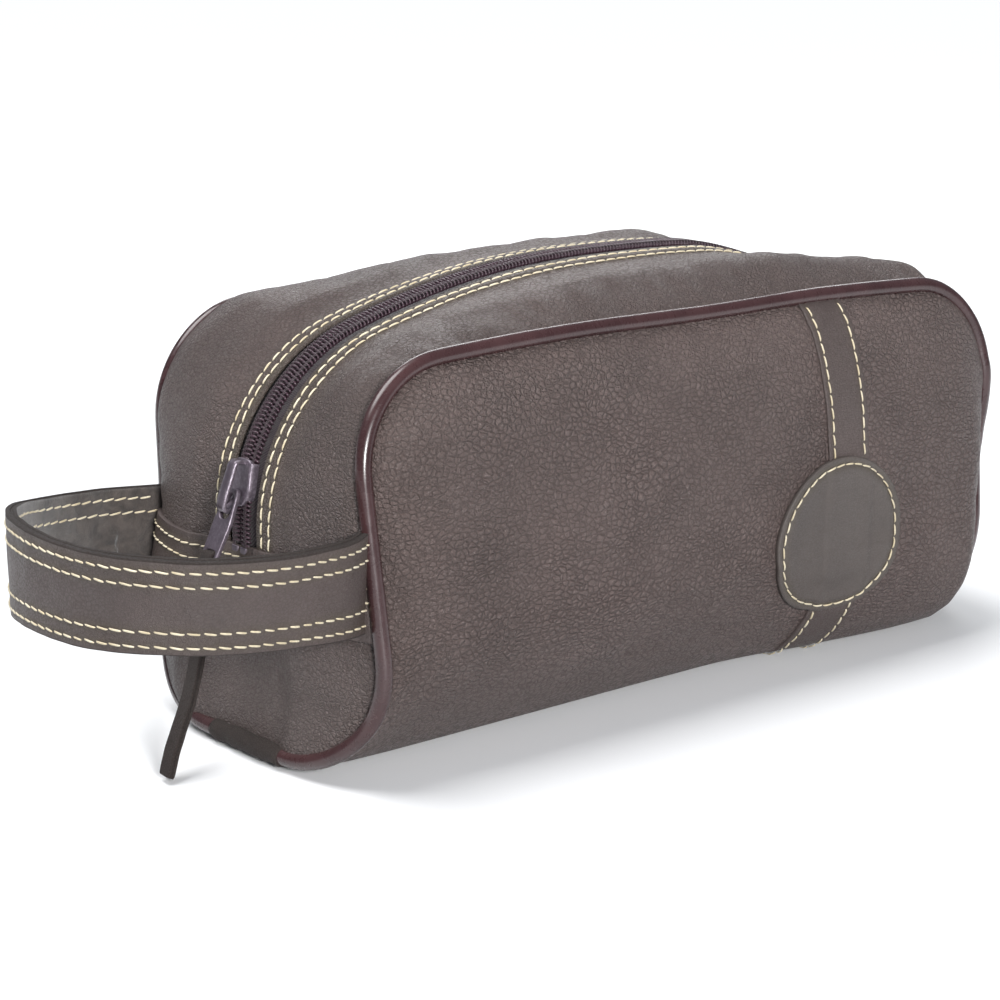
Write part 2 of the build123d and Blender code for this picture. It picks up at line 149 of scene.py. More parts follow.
def outline(w, share):
    """Left half of the arched outline at station w, from the slot's low end to the top middle."""
    c = 1 - np.abs(w) ** CROWN
    half = SEAM_X + (RIDGE_X - SEAM_X) * c
    top = SEAM_Z + SEAM_RISE + (RIDGE_Z - SEAM_Z - SEAM_RISE) * c
    corner = SEAM_CORNER + (RIDGE_CORNER - SEAM_CORNER) * c
    arch = 1 / ((1 - c) / SEAM_ARCH + c / RIDGE_ARCH)
    lean = np.arcsin((half - corner) / (arch - corner))
    centre = top - arch + (arch - corner) * np.cos(lean)
    up, turn, over = centre - SLOT_LOW, corner * (np.pi / 2 - lean), arch * lean
    s = share * (up + turn + over)
    phi = np.clip((s - up) / corner, 0, np.pi / 2 - lean)
    psi = lean - np.clip((s - up - turn) / arch, 0, lean)
    x = np.where(s < up + turn, -(half - corner) - corner * np.cos(phi), -arch * np.sin(psi))
    z = np.where(s < up, SLOT_LOW + s,
                 np.where(s < up + turn, centre + corner * np.sin(phi),
                          top - arch + arch * np.cos(psi)))
    return x, z, half


def strip_plain(u, y):
    """Zip strip and ends: u -1 left floor, 0 top middle, 1 right floor; y across. No relief."""
    u, y = np.broadcast_arrays(np.asarray(u, float), np.asarray(y, float))
    side = np.where(y < 0, -1, 1)
    a = 1 - np.abs(u)
    low = a < LOW_SHARE
    z = np.where(low, SLOT_LOW * a / LOW_SHARE, 100.0)
    share = np.clip((a - LOW_SHARE) / (1 - LOW_SHARE), 0, 1)
    for _ in range(6):
        w = np.clip(np.abs(y) / seam_depth(side, z), 0, 1)
        x, high_z, half = outline(w, share)
        z = np.where(low, z, high_z)
    x = np.where(low, -half, x)
    return np.stack([np.where(u <= 0, x, -x), y, z], -1)


def strip_normal(u, y):
    """Outward normal of the strip."""
    du, dy = 0.002, 0.4
    along = strip_plain(np.clip(u + du, -1, 1), y) - strip_plain(np.clip(u - du, -1, 1), y)
    across = strip_plain(u, y + dy) - strip_plain(u, y - dy)
    return unit(np.cross(along, across))


def strip(u, y, lift=0.0):
    """The strip with its relief: puffed beside the piping, grooved at the stitches, creased."""
    u, y = np.broadcast_arrays(np.asarray(u, float), np.asarray(y, float))
    p = strip_plain(u, y)
    side = np.where(y < 0, -1, 1)
    edge = np.maximum(end_limit(side, p[..., 2]) - np.abs(y), 0)
    zipped = smooth(SLOT_LOW - 3, SLOT_LOW, p[..., 2])
    depth = np.abs(y)
    puff = STRIP_PUFF + BACK_PUFF * smooth(10, 40, y)
    relief = puff * (1 - np.exp(-edge / 5.0)) * smooth(16, 26, depth)
    for row in STITCH_ROWS:
        relief -= STITCH_DENT * bell(depth, row, STITCH_WIDTH) * zipped
    relief += 0.22 * bell(depth, 11.8, 1.0) * zipped            # the ridge between the rows
    relief -= LIP_DROP * np.clip((LIP - depth) / 1.2, 0, 1) ** 2 * zipped
    relief -= 0.25 * bell(depth, 15.4, 1.2) * zipped            # the dip past the rows
    soft = smooth(15, 22, depth) * (1 - np.exp(-edge / 4.0))
    relief += soft * (0.42 * waves(p, 26, 3) + 0.14 * waves(p * [1, 1, 0.6], 9, 4))
    near_seam = bell(edge, 7, 6.0) * (1 - np.exp(-edge / 1.5))
    relief += 0.20 * near_seam * waves(p * [1, 0.25, 1], 6.5, 5)
    return p + strip_normal(u, y) * (relief + lift)[..., None]


LOW_X, LOW_Z = 97.2, 87.2               # centre of the face corners
PANEL_TOP = LOW_Z + SEAM_CORNER - 0.1
PANEL_HEM = 1.8
PANEL_X = SEAM_X + 0.2
SKIN = 0.4                              # how far the panel's edge stands past the seam line
RISE_WIDTH = 9                          # distance over which the panel rises from the seam
BOTTOM_HALF = 29.0                      # half width of the flat bottom


def face_bulge(z):
    """How far the face stands past the seams when it is well away from them."""
    return np.interp(z, [30, 40, 60, 70, 84, 120], [2.0, 3.6, 7.6, 8.7, 9.5, 9.5])


BELLY_PHI = np.radians([0, 15, 30, 45, 60, 75, 90])
BELLY_Y = np.array([-29.0, -36.0, -43.0, -49.6, -55.0, -58.4, -60.2])
BELLY_Z = np.array([0.0, 3.0, 9.2, 17.4, 26.0, 33.6, 40.0])


def panel_frame(v):
    """Side, place from 0 at the top edge to 2.5 in the middle of the bottom, height on the face,
    angle on the belly, and height and depth of the seam there."""
    side = np.where(v < 2.5, -1.0, 1.0)
    t = np.where(v < 2.5, v, 5 - v)
    z = PANEL_TOP + (BELLY - PANEL_TOP) * np.clip(t, 0, 1)
    phi = (2 - np.clip(t, 1, 2)) * np.pi / 2
    seam_z = PANEL_HEM + (BELLY - PANEL_HEM) * (1 - np.cos(phi))
    seam_y = seam_depth(side, seam_z) - BELLY * (1 - np.sin(phi)) + SKIN
    return side, t, z, phi, seam_z, seam_y


def end_x(w):
    """Half length of the panel at station w, 0 in the middle and 1 at the seams."""
    return PANEL_X + (RIDGE_X - SEAM_X) * (1 - w ** CROWN)


def panel(v, x, lift=0.0, relief=True):
    """Front, bottom and back panel: v 0-1 front, 1-2 belly, 2-3 bottom, 3-4 belly, 4-5 back."""
    v, x = np.broadcast_arrays(np.asarray(v, float), np.asarray(x, float))
    side, t, z, phi, seam_z, seam_y = panel_frame(v)
    # faces
    rise = SEAM_RISE * np.clip(1 - (x / 97) ** 2, 0, 1)
    corner_x = np.maximum(np.abs(x) - LOW_X, 0)
    corner_z = np.maximum(z - LOW_Z, 0)
    inside = SEAM_CORNER - np.hypot(corner_x, corner_z)
    edge = np.minimum(inside, PANEL_X - np.abs(x))
    top_gap = PANEL_TOP - z + rise
    edge = np.where(corner_x > 0, np.maximum(edge, 0), np.minimum(np.maximum(edge, 0), top_gap))
    face_y = seam_depth(side, z) + SKIN + face_bulge(z) * (1 - np.exp(-edge / RISE_WIDTH))
    face_z = z + rise * smooth(40, PANEL_TOP, z)
    # belly
    back_fill = -0.6 + 2.75 * smooth(0, np.pi / 2, phi)
    full_y = -np.interp(phi, BELLY_PHI, BELLY_Y) + np.where(side > 0, back_fill, 0)
    full_z = np.interp(phi, BELLY_PHI, BELLY_Z)
    w = np.clip(seam_y / seam_depth(side, seam_z), 0, 1)
    low_edge = np.maximum(end_x(w) - np.abs(x), 0)
    pull = 1 - np.exp(-low_edge / RISE_WIDTH)
    belly_y = seam_y + (full_y - seam_y) * pull
    belly_z = seam_z + (full_z - seam_z) * pull
    # bottom
    reach = np.clip(t - 2, 0, 0.5) * 2                  # 0 at the belly, 1 at the middle
    seam_b = (seam_depth(side, PANEL_HEM) - BELLY + SKIN) * (1 - reach)
    full_b = BOTTOM_HALF * (1 - reach)
    edge_b = end_x(seam_b / seam_depth(side, PANEL_HEM))
    pull_b = 1 - np.exp(-np.maximum(edge_b - np.abs(x), 0) / RISE_WIDTH)
    bottom_y = seam_b + (full_b - seam_b) * pull_b
    bottom_z = PANEL_HEM * (1 - pull_b)
    y = np.where(t <= 1, face_y, np.where(t <= 2, belly_y, bottom_y))
    z = np.where(t <= 1, face_z, np.where(t <= 2, belly_z, bottom_z))
    gap = np.where(t <= 1, edge, np.where(t <= 2, low_edge, edge_b - np.abs(x)))
    p = np.stack([x, side * y, z], -1)
    if relief or np.any(lift):
        n = panel_normal(v, x)
        amount = np.zeros_like(x) + lift
        if relief:
            calm = (1 - np.exp(-np.maximum(gap, 0) / 6)) * smooth(1.5, 9, p[..., 2])
            amount = amount + calm * (0.45 * waves(p, 60, 8) + 0.10 * waves(p, 14, 9))
            lip = bell(gap, 6, 5.0) * (1 - np.exp(-np.maximum(gap, 0) / 1.5))
            amount = amount + 0.13 * lip * waves(p, 7.0, 10) * smooth(2, 8, p[..., 2])
        p = p + n * amount[..., None]
    return p


def panel_normal(v, x):
    """Outward normal of the panel."""
    dv, dx = 0.012, 0.5
    along = (panel(np.clip(v + dv, 0, 5), x, relief=False)
             - panel(np.clip(v - dv, 0, 5), x, relief=False))
    across = panel(v, x + dx, relief=False) - panel(v, x - dx, relief=False)
    return unit(np.cross(along, across))


LEAN_Z = [0, 12, 30, 50, 62, 72, 82, 92, 104]
LEAN = [2, 2.5, 0.8, -1.5, -2.8, -2, -0.6, 0.2, -0.4]       # how far the right end is drawn in there
BELOW_FLOOR = 0.2                       # what is left of a dent that would pass below the floor


def settle(p):
    """The way the filled bag has slumped: right end drawn in and rounded, shoulders lifted."""
    x, y, z = p[:, 0], p[:, 1], p[:, 2]
    lean = np.interp(z, LEAN_Z, LEAN)
    dx = -lean * smooth(70, 132, x)
    # the left end's foot and the lower back of the left end sag outwards
    dx -= 2.2 * smooth(24, 5, z) * smooth(-116, -132, x)
    dx -= 3.0 * smooth(62, 36, z) * smooth(-6, 25, y) * smooth(-106, -130, x) * (x > -146)
    # the right front edge is rounded back, and the belly beside it is fuller
    dy = 10 * smooth(110, 131, x) * smooth(-18, -46, y) * (1 - smooth(54, 90, z))
    dy -= (10 * smooth(10, 100, x) * (1 - smooth(113, 130, x)) * smooth(46, 8, z)
           * smooth(-8, -30, y))
    # the right shoulder's fold, the hollow behind it, the left shoulder and the middle
    high = smooth(84, 112, z)
    fold = bell(y, -29, 9.0)
    dz = (4.6 * bell(x, 114, 26) + 2.2 * bell(x, 66, 34)) * high * fold
    dz -= 5.0 * smooth(28, 80, x) * smooth(-24, -9, y) * high
    dz += 2.6 * bell(x, -98, 20) * high * smooth(8, 46, y)
    dz -= (1.4 + 1.4 * smooth(10, 50, y)) * bell(x, 2, 42) * high
    z = z + dz
    return np.stack([x + dx, y + dy, np.where(z < 0, BELOW_FLOOR * z, z)], 1)


# ------------------------------------------------------------------ mesh helpers
def grid_faces(rows, cols, wrap_rows=False, wrap_cols=False, first=0):
    """Quads of a grid of points, row by row."""
    r = np.arange(rows if wrap_rows else rows - 1)
    c = np.arange(cols if wrap_cols else cols - 1)
    r, c = np.meshgrid(r, c, indexing="ij")
    r2, c2 = (r + 1) % rows, (c + 1) % cols
    return np.stack([r * cols + c, r2 * cols + c, r2 * cols + c2, r * cols + c2],
                    -1).reshape(-1, 4) + first


def capped_grid(rows, cols):
    """Faces of a grid that closes on itself across, with a cap on each end."""
    last = (rows - 1) * cols
    caps = [list(range(cols)), [last + k for k in range(cols)][::-1]]
    return grid_faces(rows, cols, wrap_cols=True).tolist() + caps


def turned(faces):
    """The same faces seen from the other side."""
    return [face[::-1] for face in faces]


def placed(name, data):
    """A new object in the scene that holds the data."""
    obj = bpy.data.objects.new(name, data)
    bpy.context.scene.collection.objects.link(obj)
    return obj


def shade_smooth(mesh):
    mesh.polygons.foreach_set("use_smooth", [True] * len(mesh.polygons))


def make_object(name, verts, faces, material):
    """A mesh object from points in millimetres."""
    mesh = bpy.data.meshes.new(name)
    verts = settle(np.asarray(verts, float).reshape(-1, 3))
    mesh.from_pydata((verts * MM).tolist(), [], [list(f) for f in faces])
    mesh.validate()
    mesh.update()
    mesh.materials.append(material)
    shade_smooth(mesh)
    return placed(name, mesh)


def evaluated_mesh(obj):
    """A new mesh of the object as it shows in the scene."""
    bpy.context.view_layer.update()
    evaluated = obj.evaluated_get(bpy.context.evaluated_depsgraph_get())
    return bpy.data.meshes.new_from_object(evaluated)


def apply_modifiers(obj):
    """Replaces the mesh with its modified version."""
    mesh = evaluated_mesh(obj)
    obj.modifiers.clear()
    obj.data = mesh
    return obj


def thicken(obj, thickness):
    """Gives an open sheet its thickness, inwards."""
    modifier = obj.modifiers.new("thickness", "SOLIDIFY")
    modifier.thickness = thickness * MM
    modifier.offset = -1
    modifier.use_even_offset = False
    return apply_modifiers(obj)


def bevelled(obj, width, segments=2, angle=35):
    """Rounds the sharp edges."""
    modifier = obj.modifiers.new("round", "BEVEL")
    modifier.width = width * MM
    modifier.segments = segments
    modifier.limit_method = "ANGLE"
    modifier.angle_limit = math.radians(angle)
    modifier.harden_normals = False
    return apply_modifiers(obj)


def set_attribute(obj, name, values):
    """A number at each point that the material reads."""
    attribute = obj.data.attributes.new(name, "FLOAT", "POINT")
    attribute.data.foreach_set("value", np.asarray(values, np.float32).ravel())


def tangents(path, closed=False):
    """Direction of a path at each of its points."""
    if closed:
        return unit(np.roll(path, -1, 0) - np.roll(path, 1, 0))
    return unit(np.gradient(path, axis=0))


def sweep(path, across, up, section, closed=False, scale=None):
    """Points and faces of a section, given as (across, up) pairs, moved along a path."""
    section = np.array(section, float)
    if scale is None:
        scale = np.ones(len(path))
    rings = (path[:, None, :]
             + across[:, None, :] * (section[None, :, 0] * scale[:, None])[..., None]
             + up[:, None, :] * (section[None, :, 1] * scale[:, None])[..., None])
    verts = rings.reshape(-1, 3)
    middle = len(path) // 2
    along = path[min(middle + 1, len(path) - 1)] - path[middle - 1]
    right_handed = np.cross(across[middle], up[middle]) @ along > 0
    if closed:
        faces = grid_faces(len(path), len(section), wrap_rows=True, wrap_cols=True).tolist()
    else:
        faces = capped_grid(len(path), len(section))
    return verts, turned(faces) if right_handed else faces


def round_section(radius, sides):
    """A circle's points."""
    angle = np.arange(sides) * 2 * np.pi / sides
    return np.stack([radius * np.cos(angle), radius * np.sin(angle)], 1)


def flat_section(width, low, high, edge=0.4, columns=10):
    """A flat band's section with rounded edges: from -width/2 to width/2, low to high."""
    half = width / 2
    xs = np.linspace(half - edge, edge - half, columns)
    top = [(x, high) for x in xs]
    right = [(half - edge * (1 - math.sin(a)), high - edge * (1 - math.cos(a)))
             for a in np.radians([90, 67, 45, 22])]
    left = [(-x, z) for x, z in right[::-1]]
    bottom = [(x, low) for x in -xs]
    return top + left + [(-half, low)] + bottom[1:-1] + [(half, low)] + right


def transported(path, closed=False):
    """Two directions across a path that don't twist."""
    t = tangents(path, closed)
    a = np.zeros_like(t)
    a[0] = unit(np.cross(t[0], [0.3, 0.5, 0.81]))
    for i in range(1, len(path)):
        a[i] = unit(a[i - 1] - t[i] * (a[i - 1] @ t[i]))
    return a, np.cross(t, a)


def tube(path, radius, sides=12, closed=False):
    """Points and faces of a round bar along a path."""
    across, up = transported(path, closed)
    return sweep(path, across, up, round_section(radius, sides), closed)


def joined(parts):
    """Several (points, faces) as one."""
    verts, faces, count = [], [], 0
    for v, f in parts:
        verts.append(np.asarray(v))
        faces += [[i + count for i in face] for face in f]
        count += len(v)
    return np.concatenate(verts), faces


STITCH_RINGS, STITCH_SIDES = 9, 8


def stitches(path, normals, pitch=4.2, length=3.9, radius=0.31, slant=6.0, start=0.4):
    """A row of thread stitches along a path that lies on the leather."""
    along = lengths(path)
    count = int((along[-1] - start) // pitch)
    centres = start + pitch * (np.arange(count) + 0.5)
    s = np.sin(np.linspace(-1, 1, STITCH_RINGS) * np.pi / 2)
    parts = []
    for c in centres:
        half = length / 2 * rng.uniform(0.94, 1.04)
        yaw = math.radians(slant + rng.uniform(-3, 3))
        at = np.clip(c + s * half, 0, along[-1])
        p = points_at(at, along, path)
        n = unit(points_at(c, along, normals))
        t = unit(p[-1] - p[0])
        b = np.cross(n, t)
        thick = np.sqrt(np.clip(1 - s ** 4, 0.03, 1)) * radius * rng.uniform(0.93, 1.05)
        rise = radius * 0.5 - 0.45 * s ** 6
        centre = p + b * (s * half * math.tan(yaw))[:, None] + n * rise[:, None]
        angle = np.arange(STITCH_SIDES) * 2 * np.pi / STITCH_SIDES
        ring = (centre[:, None, :]
                + b * (np.cos(angle)[None, :, None] * thick[:, None, None])
                + n * (np.sin(angle)[None, :, None] * thick[:, None, None] * 0.85))
        parts.append((ring.reshape(-1, 3), turned(capped_grid(STITCH_RINGS, STITCH_SIDES))))
    return joined(parts)


# ------------------------------------------------------------------ materials
class Nodes:
    """Short hand for building one material's nodes."""

    def __init__(self, name):
        self.material = bpy.data.materials.new(name)
        self.material.use_nodes = True
        self.tree = self.material.node_tree
        self.tree.nodes.clear()
        self.output = self.new("OutputMaterial")
        self.shader = self.new("BsdfPrincipled")
        self.link(self.shader.outputs[0], self.output.inputs["Surface"])
        scale = self.new("VectorMath", operation="SCALE")
        self.link(self.new("TexCoord").outputs["Object"], scale.inputs[0])
        scale.inputs["Scale"].default_value = 1 / MM
        self.place = scale.outputs[0]                   # position in millimetres

    def new(self, kind, **settings):
        """A node of the given kind with its settings."""
        node = self.tree.nodes.new("ShaderNode" + kind)
        for key, value in settings.items():
            setattr(node, key, value)
        return node

    def link(self, a, b):
        self.tree.links.new(a, b)

    def put(self, socket, value):
        """Gives a socket a link, a number or a colour."""
        if isinstance(value, bpy.types.NodeSocket):
            self.link(value, socket)
        elif socket.type == "RGBA":
            socket.default_value = (*value, 1)
        else:
            socket.default_value = value

    def math(self, operation, *values):
        node = self.new("Math", operation=operation)
        for socket, value in zip(node.inputs, values):
            self.put(socket, value)
        return node.outputs[0]

    def stretch(self, vector, by):
        node = self.new("VectorMath", operation="MULTIPLY")
        self.put(node.inputs[0], vector)
        node.inputs[1].default_value = by
        return node.outputs[0]

    def noise(self, size, detail=2.0, roughness=0.5, distortion=0.0):
        node = self.new("TexNoise")
        self.link(self.place, node.inputs["Vector"])
        node.inputs["Scale"].default_value = 1 / size
        node.inputs["Detail"].default_value = detail
        node.inputs["Roughness"].default_value = roughness
        node.inputs["Distortion"].default_value = distortion
        return node.outputs[0]

    def noisy(self, size, low, high, detail=2.0, roughness=0.5, distortion=0.0):
        """Noise spread between two (position, value) stops."""
        return self.ramp(self.noise(size, detail, roughness, distortion), [low, high])

    def wave(self, direction, scale, distortion):
        node = self.new("TexWave", bands_direction=direction)
        self.link(self.place, node.inputs["Vector"])
        node.inputs["Scale"].default_value = scale
        node.inputs["Distortion"].default_value = distortion
        return node.outputs["Fac"]

    def warp(self, vector, size, amount):
        """A place moved about by noise."""
        noise = self.new("TexNoise")
        self.put(noise.inputs["Vector"], vector)
        noise.inputs["Scale"].default_value = 1 / size
        shift = self.new("VectorMath", operation="MULTIPLY_ADD")
        self.link(noise.outputs["Color"], shift.inputs[0])
        shift.inputs[1].default_value = (amount,) * 3
        self.put(shift.inputs[2], vector)
        return shift.outputs[0]

    def cells(self, size, vector):
        """Distance to the nearest edge between cells."""
        node = self.new("TexVoronoi", feature="DISTANCE_TO_EDGE")
        self.link(vector, node.inputs["Vector"])
        node.inputs["Scale"].default_value = 1 / size
        return node.outputs["Distance"]

    def ramp(self, value, stops):
        """Grey levels at the given positions."""
        node = self.new("ValToRGB")
        self.put(node.inputs[0], value)
        ramp = node.color_ramp
        while len(ramp.elements) < len(stops):
            ramp.elements.new(0.5)
        for element, (at, level) in zip(ramp.elements, stops):
            element.position = at
            element.color = (level, level, level, 1)
        return node.outputs[0]

    def mix(self, factor, a, b, kind="MIX"):
        node = self.new("Mix", data_type="RGBA", blend_type=kind)
        self.put(node.inputs["Factor"], factor)
        self.put(node.inputs[6], a)
        self.put(node.inputs[7], b)
        return node.outputs[2]

    def attribute(self, name):
        return self.new("Attribute", attribute_name=name).outputs["Fac"]

    def bump(self, height, strength, distance):
        node = self.new("Bump")
        node.inputs["Strength"].default_value = strength
        node.inputs["Distance"].default_value = distance * MM
        self.put(node.inputs["Height"], height)
        return node.outputs[0]

    def finish(self, colour, roughness, normal=None, **settings):
        """The material, once its colour, roughness and other settings are known."""
        self.put(self.shader.inputs["Base Color"], colour)
        self.put(self.shader.inputs["Roughness"], roughness)
        if normal is not None:
            self.link(normal, self.shader.inputs["Normal"])
        for key, value in settings.items():
            self.shader.inputs[key.replace("_", " ")].default_value = value
        return self.material


FULL = ((0.3, 0.0), (0.7, 1.0))         # ramp stops for patches of two colours


def shade(colour, factor):
    """The same colour, darker or lighter."""
    return tuple(channel * factor for channel in colour)


def leather(name, base, grain, cell, depth, gloss, tint=None):
    """Pebbled leather: domed cells with creases between them painted darker as shade, wrinkles and
    patchy colour.
    """
    m = Nodes(name)
    place = m.warp(m.place, 26.0, 7.0)
    place = m.stretch(place, (0.82, 0.9, 1.15))
    place = m.warp(place, 3.0, 1.0)
    place = m.warp(place, 1.1, 0.55)
    big = m.cells(cell, place)
    small = m.cells(cell * 0.45, m.warp(m.place, 1.0, 0.5))
    domes = m.ramp(big, [(0.0, 0.0), (0.06, 0.28), (0.18, 0.68), (0.42, 1.0)])
    fine = m.ramp(small, [(0.0, 0.0), (0.12, 0.5), (0.4, 1.0)])
    wrinkles = m.noise(cell * 1.5, 4.0, 0.62, distortion=1.4)
    pores = m.noise(0.3, 3.0, 0.6)
    strength = m.noisy(30.0, (0.28, 0.45), (0.72, 1.25))
    height = m.math("MULTIPLY", domes, m.math("MULTIPLY", strength, grain))
    height = m.math("MULTIPLY_ADD", fine, 0.45, height)
    height = m.math("MULTIPLY_ADD", wrinkles, 1.3, height)
    height = m.math("MULTIPLY_ADD", pores, 0.16, height)
    normal = m.bump(height, 1.0, depth)
    colour = m.mix(m.noisy(34.0, *FULL, 3.0, 0.55), shade(base, 0.86), shade(base, 1.14))
    specks = m.noisy(1.6, (0.3, 0.78), (0.7, 1.2), 4.0, 0.65)
    colour = m.mix(0.35, colour, specks, "MULTIPLY")
    # painted shade: the creases between the cells are darkened towards 0.38 of the base colour
    in_crease = m.ramp(big, [(0.0, 1.0), (0.16, 0.0)])
    colour = m.mix(m.math("MULTIPLY", in_crease, 0.55 * grain), colour, shade(base, 0.38))
    if tint is not None:
        uneven = m.noisy(2.2, (0.25, 0.35), (0.7, 1.0), 3.0, 0.6)
        near = m.math("MULTIPLY", m.attribute("near_stitch"), uneven)
        colour = m.mix(near, colour, tint)
    rough = m.math("MULTIPLY_ADD", m.noise(9.0, 3.0, 0.6), 0.2, gloss - 0.08)
    rough = m.math("MULTIPLY_ADD", in_crease, 0.2, rough)
    return m.finish(colour, rough, normal, Specular_IOR_Level=0.5)


def piping_vinyl():
    """Glossy burgundy-brown piping with faint lengthwise flow."""
    m = Nodes("piping_vinyl")
    flow = m.noisy(14.0, *FULL, 3.0)
    colour = m.mix(flow, (0.034, 0.014, 0.015), (0.056, 0.025, 0.026))
    height = m.math("MULTIPLY_ADD", m.noise(0.5, 4.0, 0.7), 0.15, m.noise(4.0))
    rough = m.noisy(3.5, (0.35, 0.24), (0.75, 0.34), 4.0, 0.6)
    return m.finish(colour, rough, m.bump(height, 0.5, 0.04), Coat_Weight=0.12,
                    Coat_Roughness=0.12, Specular_IOR_Level=0.5)


def thread():
    """Cream waxed thread with its twist."""
    m = Nodes("waxed_thread")
    twist = m.wave("DIAGONAL", 0.62, 0.6)
    colour = m.mix(m.noisy(6.0, *FULL), (0.62, 0.52, 0.34), (0.84, 0.76, 0.58))
    colour = m.mix(m.math("MULTIPLY", twist, 0.25), colour, (0.42, 0.33, 0.2))
    return m.finish(colour, 0.55, m.bump(twist, 0.5, 0.06), Sheen_Weight=0.15)


def zip_fabric():
    """Herringbone zip tape, dark aubergine."""
    m = Nodes("zip_tape_weave")
    weave = m.wave("DIAGONAL", 0.55, 1.0)
    fuzz = m.noise(0.3, 3.0, 0.7)
    colour = m.mix(weave, (0.018, 0.009, 0.013), (0.044, 0.024, 0.032))
    colour = m.mix(0.4, colour, m.ramp(fuzz, [(0.3, 0.6), (0.7, 1.3)]), "MULTIPLY")
    height = m.math("ADD", weave, m.math("MULTIPLY", fuzz, 0.5))
    return m.finish(colour, 0.85, m.bump(height, 0.8, 0.12), Sheen_Weight=0.25)


def lining_cloth():
    """Plain woven dark lining."""
    m = Nodes("lining_cloth")
    height = m.math("MAXIMUM", m.wave("X", 0.5, 0.4), m.wave("Z", 0.5, 0.4))
    colour = m.mix(m.noisy(9.0, *FULL, 3.0), (0.030, 0.024, 0.022), (0.050, 0.040, 0.036))
    return m.finish(colour, 0.9, m.bump(height, 0.5, 0.08), Sheen_Weight=0.2)


def nylon(name, base):
    """Dyed nylon of the zip's coils."""
    m = Nodes(name)
    colour = m.mix(m.noisy(2.0, *FULL, 3.0, 0.6), shade(base, 0.7), shade(base, 1.3))
    rough = m.math("MULTIPLY_ADD", m.noise(0.8, 3.0), 0.2, 0.26)
    return m.finish(colour, rough, m.bump(m.noise(0.35, 2.0), 0.4, 0.03), Specular_IOR_Level=0.5)


def lacquered_metal():
    """Purple-grey lacquer over a zinc casting, rubbed on its edges."""
    m = Nodes("lacquered_zinc")
    clouds = m.noisy(5.0, (0.3, 0.0), (0.75, 1.0), 4.0, 0.6)
    colour = m.mix(clouds, (0.085, 0.066, 0.085), (0.15, 0.122, 0.15))
    edges = m.new("NewGeometry").outputs["Pointiness"]
    rubbed = m.ramp(edges, [(0.50, 0.0), (0.58, 1.0)])
    scuffs = m.noisy(0.9, (0.45, 0.2), (0.62, 1.0), 5.0, 0.7)
    colour = m.mix(m.math("MULTIPLY", rubbed, scuffs), colour, (0.30, 0.26, 0.30))
    rough = m.math("MULTIPLY_ADD", m.noise(1.5, 4.0, 0.7), 0.26, 0.24)
    grain = m.math("ADD", m.noise(0.4, 3.0), m.math("MULTIPLY", m.noise(3.0, 2.0), 2.0))
    return m.finish(colour, rough, m.bump(grain, 0.5, 0.05), Metallic=0.55,
                    Specular_IOR_Level=0.5, Coat_Weight=0.2, Coat_Roughness=0.25)


def suede():
    """Mottled flesh side of the leather."""
    m = Nodes("raw_suede")
    cloud = m.noise(5.5, 6.0, 0.72, distortion=0.6)
    fibre = m.noise(0.35, 6.0, 0.8)
    light = m.ramp(cloud, [(0.35, 0.0), (0.5, 0.45), (0.68, 1.0)])
    colour = m.mix(light, (0.020, 0.014, 0.012), (0.088, 0.069, 0.059))
    colour = m.mix(0.5, colour, m.ramp(fibre, [(0.3, 0.55), (0.7, 1.3)]), "MULTIPLY")
    height = m.math("ADD", fibre, m.math("MULTIPLY", cloud, 1.6))
    return m.finish(colour, 0.92, m.bump(height, 0.9, 0.22), Sheen_Weight=0.35,
                    Sheen_Roughness=0.6)


BROWN = (0.128, 0.092, 0.084)
OLIVE = (0.066, 0.053, 0.034)
mat_leather = leather("pebbled_leather", BROWN, grain=1.0, cell=1.75, depth=0.7, gloss=0.38,
                      tint=OLIVE)
mat_gusset = leather("milled_leather", (0.100, 0.073, 0.067), grain=0.8, cell=1.4, depth=0.62,
                     gloss=0.38, tint=OLIVE)
mat_band = leather("band_leather", (0.073, 0.054, 0.050), grain=0.35, cell=1.2, depth=0.2,
                   gloss=0.44, tint=OLIVE)
mat_smooth = leather("smooth_leather", (0.077, 0.063, 0.057), grain=0.2, cell=0.9, depth=0.12,
                     gloss=0.40, tint=OLIVE)
mat_edge = leather("cut_leather_edge", (0.026, 0.017, 0.014), grain=0.5, cell=0.7, depth=0.25,
                   gloss=0.72)
mat_piping = piping_vinyl()
mat_thread = thread()
mat_tape = zip_fabric()
mat_coil = nylon("nylon_coil", (0.050, 0.027, 0.037))
mat_metal = lacquered_metal()
mat_suede = suede()
mat_lining = lining_cloth()
mat_floor = Nodes("studio_paper").finish((0.93, 0.935, 0.945), 0.7)

# ------------------------------------------------------------------ outer leather
INNER, PAD = 18, 36                     # columns beside the slot and from there to the seam
SLOT_COLUMNS = 10
STEP = 0.5


def strip_columns(side, z):
    """Depths across one side of the strip from the slot's edge to the seam."""
    limit = end_limit(np.array(side), z)
    inner = SLOT_HALF + STEP * np.arange(INNER)
    t = np.linspace(0, 1, PAD + 1)
    outer = inner[-1] + STEP + (limit[:, None] - inner[-1] - STEP) * t
    return side * np.concatenate([np.broadcast_to(inner, (len(z), INNER)), outer], 1)


phi_rows = np.linspace(0, np.pi / 2, 36)
low_z = np.concatenate([HEM + (BELLY - HEM) * (1 - np.cos(phi_rows)),
                        np.linspace(BELLY, SLOT_LOW, 18)[1:]])
left_u = np.concatenate([LOW_SHARE * low_z / SLOT_LOW - 1,
                         np.linspace(LOW_SHARE, 1, 165)[1:] - 1])
rows_u = np.concatenate([left_u, -left_u[::-1][1:]])


